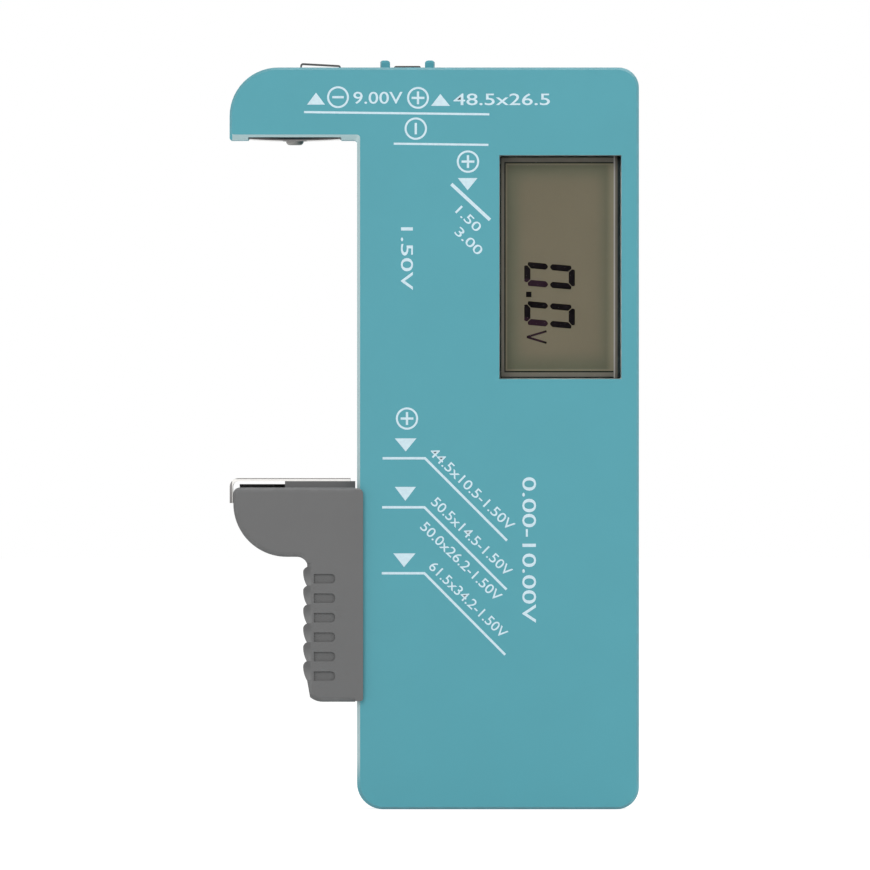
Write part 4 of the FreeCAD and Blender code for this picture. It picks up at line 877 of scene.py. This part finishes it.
def threaded_screw(seat, axis, sizes, turned):
    """A pan-head screw with a cross recess, as rings round its axis from the tip to the recess.

    The shank's radius falls by a groove that climbs once round for each pitch, and tapers at the tip.
    The head's edge is a quarter round, and its face sinks inside two crossed bars.
    """
    head_radius, head_height, shank_radius, shank_length = sizes
    turn = np.linspace(0, 2 * math.pi, SCREW_AROUND, endpoint=False)
    count = int(shank_length / THREAD_PITCH * RINGS_A_TURN)
    levels = np.linspace(-shank_length, THREAD_TOP, count)[:, None]
    phase = np.mod(levels / THREAD_PITCH - turn / (2 * math.pi), 1)
    groove = THREAD_DEPTH * shank_radius * np.abs(phase * 2 - 1)
    taper = np.clip((levels + shank_length) / (shank_radius * TIP_LENGTH), 0, 1) ** TIP_CURVE
    shank = (shank_radius - groove) * np.maximum(taper, TIP_SHARE)
    rounded = head_height * HEAD_ROUND
    neck = shank_radius * NECK_SHARE
    quarter = np.linspace(0, math.pi / 2, ROUND_RINGS)
    edge = np.concatenate([[neck, neck, head_radius], head_radius - rounded * (1 - np.cos(quarter))])
    edge_levels = np.concatenate([[NECK_LOW, 0, 0], head_height - rounded * (1 - np.sin(quarter))])
    face = np.linspace(head_radius - rounded, head_radius * MIDDLE_SHARE, FACE_RINGS)[1:, None]
    arm, half = head_radius * RECESS_ARM, head_radius * RECESS_HALF
    one = np.abs(face * np.cos(turn + turned))
    two = np.abs(face * np.sin(turn + turned))
    outside = np.minimum(np.maximum(one - half, two - arm), np.maximum(two - half, one - arm))
    shut, open_edge = np.array(RECESS_EDGE) * head_radius
    face_levels = head_height - head_height * RECESS_SINK * step_down(outside, shut, open_edge)
    even = np.ones(SCREW_AROUND)
    radii = np.vstack([shank, np.outer(edge, even), face * even])
    heights = np.vstack([levels * even, np.outer(edge_levels, even), face_levels])
    axis = np.array(axis, float)
    upright = np.array([0.0, 0.0, 1.0])
    spokes = np.outer(np.cos(turn), upright) + np.outer(np.sin(turn), np.cross(axis, upright))
    return loft(np.array(seat) + radii[..., None] * spokes + heights[..., None] * axis)


def piece(name, shells, material, body):
    """One object from several closed shells, riding on a body."""
    starts = np.cumsum([0] + [len(points) for points, blocks in shells[:-1]])
    faces = []
    for start, (points, blocks) in zip(starts, shells):
        for block in blocks:
            faces += (block + start).tolist()
    mesh = bpy.data.meshes.new(name)
    mesh.from_pydata(np.vstack([points for points, blocks in shells]).tolist(), [], faces)
    shell = bmesh.new()
    shell.from_mesh(mesh)
    bmesh.ops.remove_doubles(shell, verts=shell.verts, dist=MERGE_DISTANCE)
    bmesh.ops.recalc_face_normals(shell, faces=shell.faces)
    shell.to_mesh(mesh)
    shell.free()
    mesh.shade_smooth()
    mesh.set_sharp_from_angle(angle=SMOOTH_ANGLE)
    mesh.materials.append(material)
    item = bpy.data.objects.new(name, mesh)
    bpy.context.scene.collection.objects.link(item)
    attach(item, body)
    return item


def must_fill(item, node):
    """Raise an error where a piece that stands for a node doesn't fill the node's box."""
    points = np.empty(len(item.data.vertices) * 3)
    item.data.vertices.foreach_get("co", points)
    points = points.reshape(-1, 3)
    low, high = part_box(node)
    miss = max(np.abs(points.min(0) - low).max(), np.abs(points.max(0) - high).max())
    if miss > FIT:
        raise RuntimeError(f"{item.name} misses the box of {node} by {miss} m")


# Operators

class TESTER_OT_covers(Operator):
    """Finish the two covers of the case"""
    bl_idname = "tester.covers"
    bl_label = "Covers"

    def execute(self, context):
        look = context.scene.tester_case
        dress(moulded("case_plastic_look", look, painted_bevel_highlights, look.pale), "front_cover", "rear_cover")
        return {"FINISHED"}


class TESTER_OT_jaw(Operator):
    """Finish the sliding jaw"""
    bl_idname = "tester.jaw"
    bl_label = "Sliding jaw"

    def execute(self, context):
        look = context.scene.tester_slider
        dress(moulded("slider_plastic_look", look, grip_painted_shading, look.base), "slider")
        return {"FINISHED"}


class TESTER_OT_contacts(Operator):
    """Finish the contacts, the rail and the wiper"""
    bl_idname = "tester.contacts"
    bl_label = "Contacts"

    def execute(self, context):
        look = context.scene.tester_metal
        # The slider strip gets painted highlights and shade on its edges, the other contacts painted shade
        low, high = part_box("slider_contact")
        outline = (low.x + STRIP_SIDE, high.z - STRIP_TOP)
        dimple_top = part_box("arm_contact")[0].z + DIMPLE_HEIGHT
        dress(plated("bright_plating", look, outline=outline), "slider_contact")
        dress(plated("arm_plating", look, cut_above=dimple_top), "arm_contact")
        dress(plated("edged_plating", look, cut_above=0), "nine_volt_negative_contact",
              "nine_volt_positive_contact")
        dress(plain_metal("rolled_brass", look.brass, rough=0.22), "contact_rail", "slider_wiper")
        return {"FINISHED"}


class TESTER_OT_display(Operator):
    """Finish the display and draw its digits"""
    bl_idname = "tester.display"
    bl_label = "Display"

    def execute(self, context):
        look = context.scene.tester_display
        dress(clear_pane(), "display_lens")
        dress(border_sheet(look), "display_mask")
        dress(reflector(look), "display_panel")
        dress(plain_body("holder_moulding", (0.72, 0.72, 0.69), rough=0.5), "display_holder")
        dress(plain_body("elastic_strip", (0.42, 0.17, 0.13), rough=0.7), "elastic_connector")
        back, front = PANEL_LOW.y + FILM_BACK, PANEL_LOW.y - FILM_FRONT
        shells = []
        for foot, left in DIGIT_STARTS:
            for start, end, side in NOUGHT_BARS:
                across, up = bar_outline(start, end, side, look).T
                downwards = across + up * math.tan(look.slant)
                shells.append(slab(np.column_stack([foot * MM + up, left * MM - downwards]), back, front))
        corners = POINT_WIDTH / 2 * np.array([(-1, -1), (1, -1), (1, 1), (-1, 1)])
        shells.append(slab((corners + POINT_MIDDLE) * MM, back, front))
        shells += [ribbon(np.array(path) * MM, UNIT_WIDTH * MM, back, front) for path in UNIT_PATHS]
        piece("display_digits", shells, segment_ink(look), "case")
        return {"FINISHED"}


class TESTER_OT_marks(Operator):
    """Print the arrows, polarity signs, guide lines and plain numbers on the front cover"""
    bl_idname = "tester.marks"
    bl_label = "Printed marks"

    def execute(self, context):
        look = context.scene.tester_print
        back, front = FACE_Y + look.film / 2, FACE_Y - look.film
        arrows = [
            slab(np.array([(left, level), (right, level), point]) * MM, back, front)
            for (left, right, level), point in ARROWS
        ]
        signs = []
        for middle, outer, level, upright in SIGNS:
            spot = np.array(middle) * MM
            signs.append(hoop(spot, outer * MM - look.ring, outer * MM, back, front))
            if level:
                reach = np.array([level * MM, 0])
                signs.append(ribbon([spot - reach, spot + reach], look.bar, back, front))
            if upright:
                # Prouder than the level bar, so that the two share no face
                reach = np.array([0, upright * MM])
                signs.append(ribbon([spot - reach, spot + reach], look.bar, back, front - look.film / 4))
        guides = [ribbon(np.array(points) * MM, width * MM, back, front) for width, points in GUIDES]
        numbers = [
            figures(words, np.array(corner) * MM, height * MM, run * MM, degrees, back, front)
            for words, corner, height, run, degrees in NUMBERS
        ]
        ink = plain_body("printing_ink", look.ink, rough=0.5, grain=0.4 * MM)
        for name, shells in (("printed_arrows", arrows), ("printed_polarity_signs", signs),
                             ("printed_guide_lines", guides), ("printed_numbers", numbers)):
            piece(name, shells, ink, "case")
        return {"FINISHED"}


class TESTER_OT_screws(Operator):
    """Make the screws with cross recesses and threads"""
    bl_idname = "tester.screws"
    bl_label = "Screws"

    def execute(self, context):
        steel = plain_metal("zinc_plated_steel", context.scene.tester_metal.steel, rough=0.3)
        for node, (body, axis, sizes, turned, seats) in SCREWS.items():
            places = np.array(seats) * MM
            lengths = np.array(sizes) * MM
            shells = [
                threaded_screw(place, axis, lengths, turned + number * RECESS_STEP)
                for number, place in enumerate(places)
            ]
            item = piece(f"{node}_driven", shells, steel, body)
            must_fill(item, node)
            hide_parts(node)
        return {"FINISHED"}


class TESTER_OT_circuit(Operator):
    """Finish the circuit board, its parts and the leads"""
    bl_idname = "tester.circuit"
    bl_label = "Circuit"

    def execute(self, context):
        dress(laminate(), "circuit_board")
        resin = plain_body("cast_resin", (0.018, 0.018, 0.02), rough=0.25, grain=1.5 * MM)
        dress(resin, "controller_blob")
        dress(wound_coil(), "boost_inductor")
        dress(capacitor_can(), "smoothing_capacitor")
        dress(banded_resistor(), "load_resistors")
        dress(plain_body("fired_chips", (0.28, 0.19, 0.11), rough=0.5), "small_parts")
        dress(plain_body("red_insulation", (0.5, 0.025, 0.025), rough=0.4), "positive_lead", "rail_lead")
        dress(plain_body("black_insulation", (0.02, 0.02, 0.02), rough=0.4), "negative_lead", "arm_lead")
        return {"FINISHED"}


def set_camera(scene, look):
    """A far camera square to the front face, with the picture's width set at that face."""
    camera = bpy.data.cameras.new("camera")
    camera.lens = camera.sensor_width * look.distance / look.span
    camera.clip_end = CAMERA_REACH
    viewer = bpy.data.objects.new("camera", camera)
    viewer.location = (look.middle_x, FACE_Y - look.distance, look.middle_z)
    viewer.rotation_euler = (math.pi / 2, 0, 0)
    scene.collection.objects.link(viewer)
    scene.camera = viewer


def set_lamp(scene, name, place, energy):
    """A square lamp that points at the middle of the tester."""
    light = bpy.data.lights.new(name, "AREA")
    light.shape = "SQUARE"
    light.size = LAMP_SIZE
    light.energy = energy
    item = bpy.data.objects.new(name, light)
    item.location = place
    item.rotation_euler = (LAMP_TARGET - Vector(place)).to_track_quat("-Z", "Y").to_euler()
    scene.collection.objects.link(item)


def set_sky(scene, strength):
    """Even white light of that strength, which is seen and reflected as plain white."""
    world = bpy.data.worlds.new("even_light")
    world.use_nodes = True
    scene.world = world
    sky = Nodes(world.node_tree)
    background = world.node_tree.nodes["Background"]
    sky.join(background.inputs["Color"], (1, 1, 1))
    sky.join(background.inputs["Strength"], sky.rays(*SEEN_RAYS) * (1 - strength) + strength)


def set_floor(scene):
    """A pale floor that is seen as nearly white and still takes the tester's shadow."""
    corners = FLOOR_HALF * np.array([(-1, -1), (1, -1), (1, 1), (-1, 1)])
    points = np.column_stack([corners, np.full(len(corners), FLOOR_LEVEL)])
    mesh = bpy.data.meshes.new("floor")
    mesh.from_pydata(points.tolist(), [], [range(len(corners))])
    floor = bpy.data.objects.new("floor", mesh)
    scene.collection.objects.link(floor)
    finish = Finish("pale_floor")
    finish.set("Base Color", finish.blend(finish.noise(0.4), (0.90, 0.90, 0.90), (0.93, 0.93, 0.93)))
    finish.set("Roughness", 0.9)
    glow = finish.node("ShaderNodeEmission", sockets={"Strength": FLOOR_GLOW})
    finish.mix_in(finish.rays(*SEEN_RAYS) * FLOOR_GLOW_SHARE, glow)
    mesh.materials.append(finish.material)


class TESTER_OT_stage(Operator):
    """Set the camera, the lamps, the even light and the pale floor"""
    bl_idname = "tester.stage"
    bl_label = "Stage"

    def execute(self, context):
        scene = context.scene
        look = scene.tester_stage
        scene.view_settings.view_transform = "Standard"
        set_camera(scene, look)
        for name, place, energy in LAMPS:
            set_lamp(scene, name, place, getattr(look, energy))
        set_sky(scene, look.sky)
        set_floor(scene)
        return {"FINISHED"}


class TESTER_PT_looks(Panel):
    """The tester's looks, piece by piece"""
    bl_label = "Battery Tester"
    bl_idname = "TESTER_PT_looks"
    bl_space_type = "VIEW_3D"
    bl_region_type = "UI"
    bl_category = "Tester"

    def draw(self, context):
        for operator in OPERATORS:
            self.layout.operator(operator.bl_idname)
        for name in LOOKS:
            box = self.layout.box()
            group = getattr(context.scene, name)
            for key in group.__annotations__:
                box.prop(group, key)


LOOKS = {
    "tester_case": CaseLook,
    "tester_slider": SliderLook,
    "tester_metal": MetalLook,
    "tester_print": PrintLook,
    "tester_display": DisplayLook,
    "tester_stage": StageLook,
}
OPERATORS = (
    TESTER_OT_stage,
    TESTER_OT_covers,
    TESTER_OT_jaw,
    TESTER_OT_contacts,
    TESTER_OT_display,
    TESTER_OT_marks,
    TESTER_OT_screws,
    TESTER_OT_circuit,
)
CLASSES = (*LOOKS.values(), *OPERATORS, TESTER_PT_looks)


def register():
    for cls in CLASSES:
        bpy.utils.register_class(cls)
    for name, group in LOOKS.items():
        setattr(bpy.types.Scene, name, PointerProperty(type=group))


def unregister():
    for name in LOOKS:
        delattr(bpy.types.Scene, name)
    for cls in reversed(CLASSES):
        bpy.utils.unregister_class(cls)


def main():
    register()
    for operator in OPERATORS:
        getattr(bpy.ops.tester, operator.bl_idname.split(".")[1])()


if __name__ == "__main__":
    main()
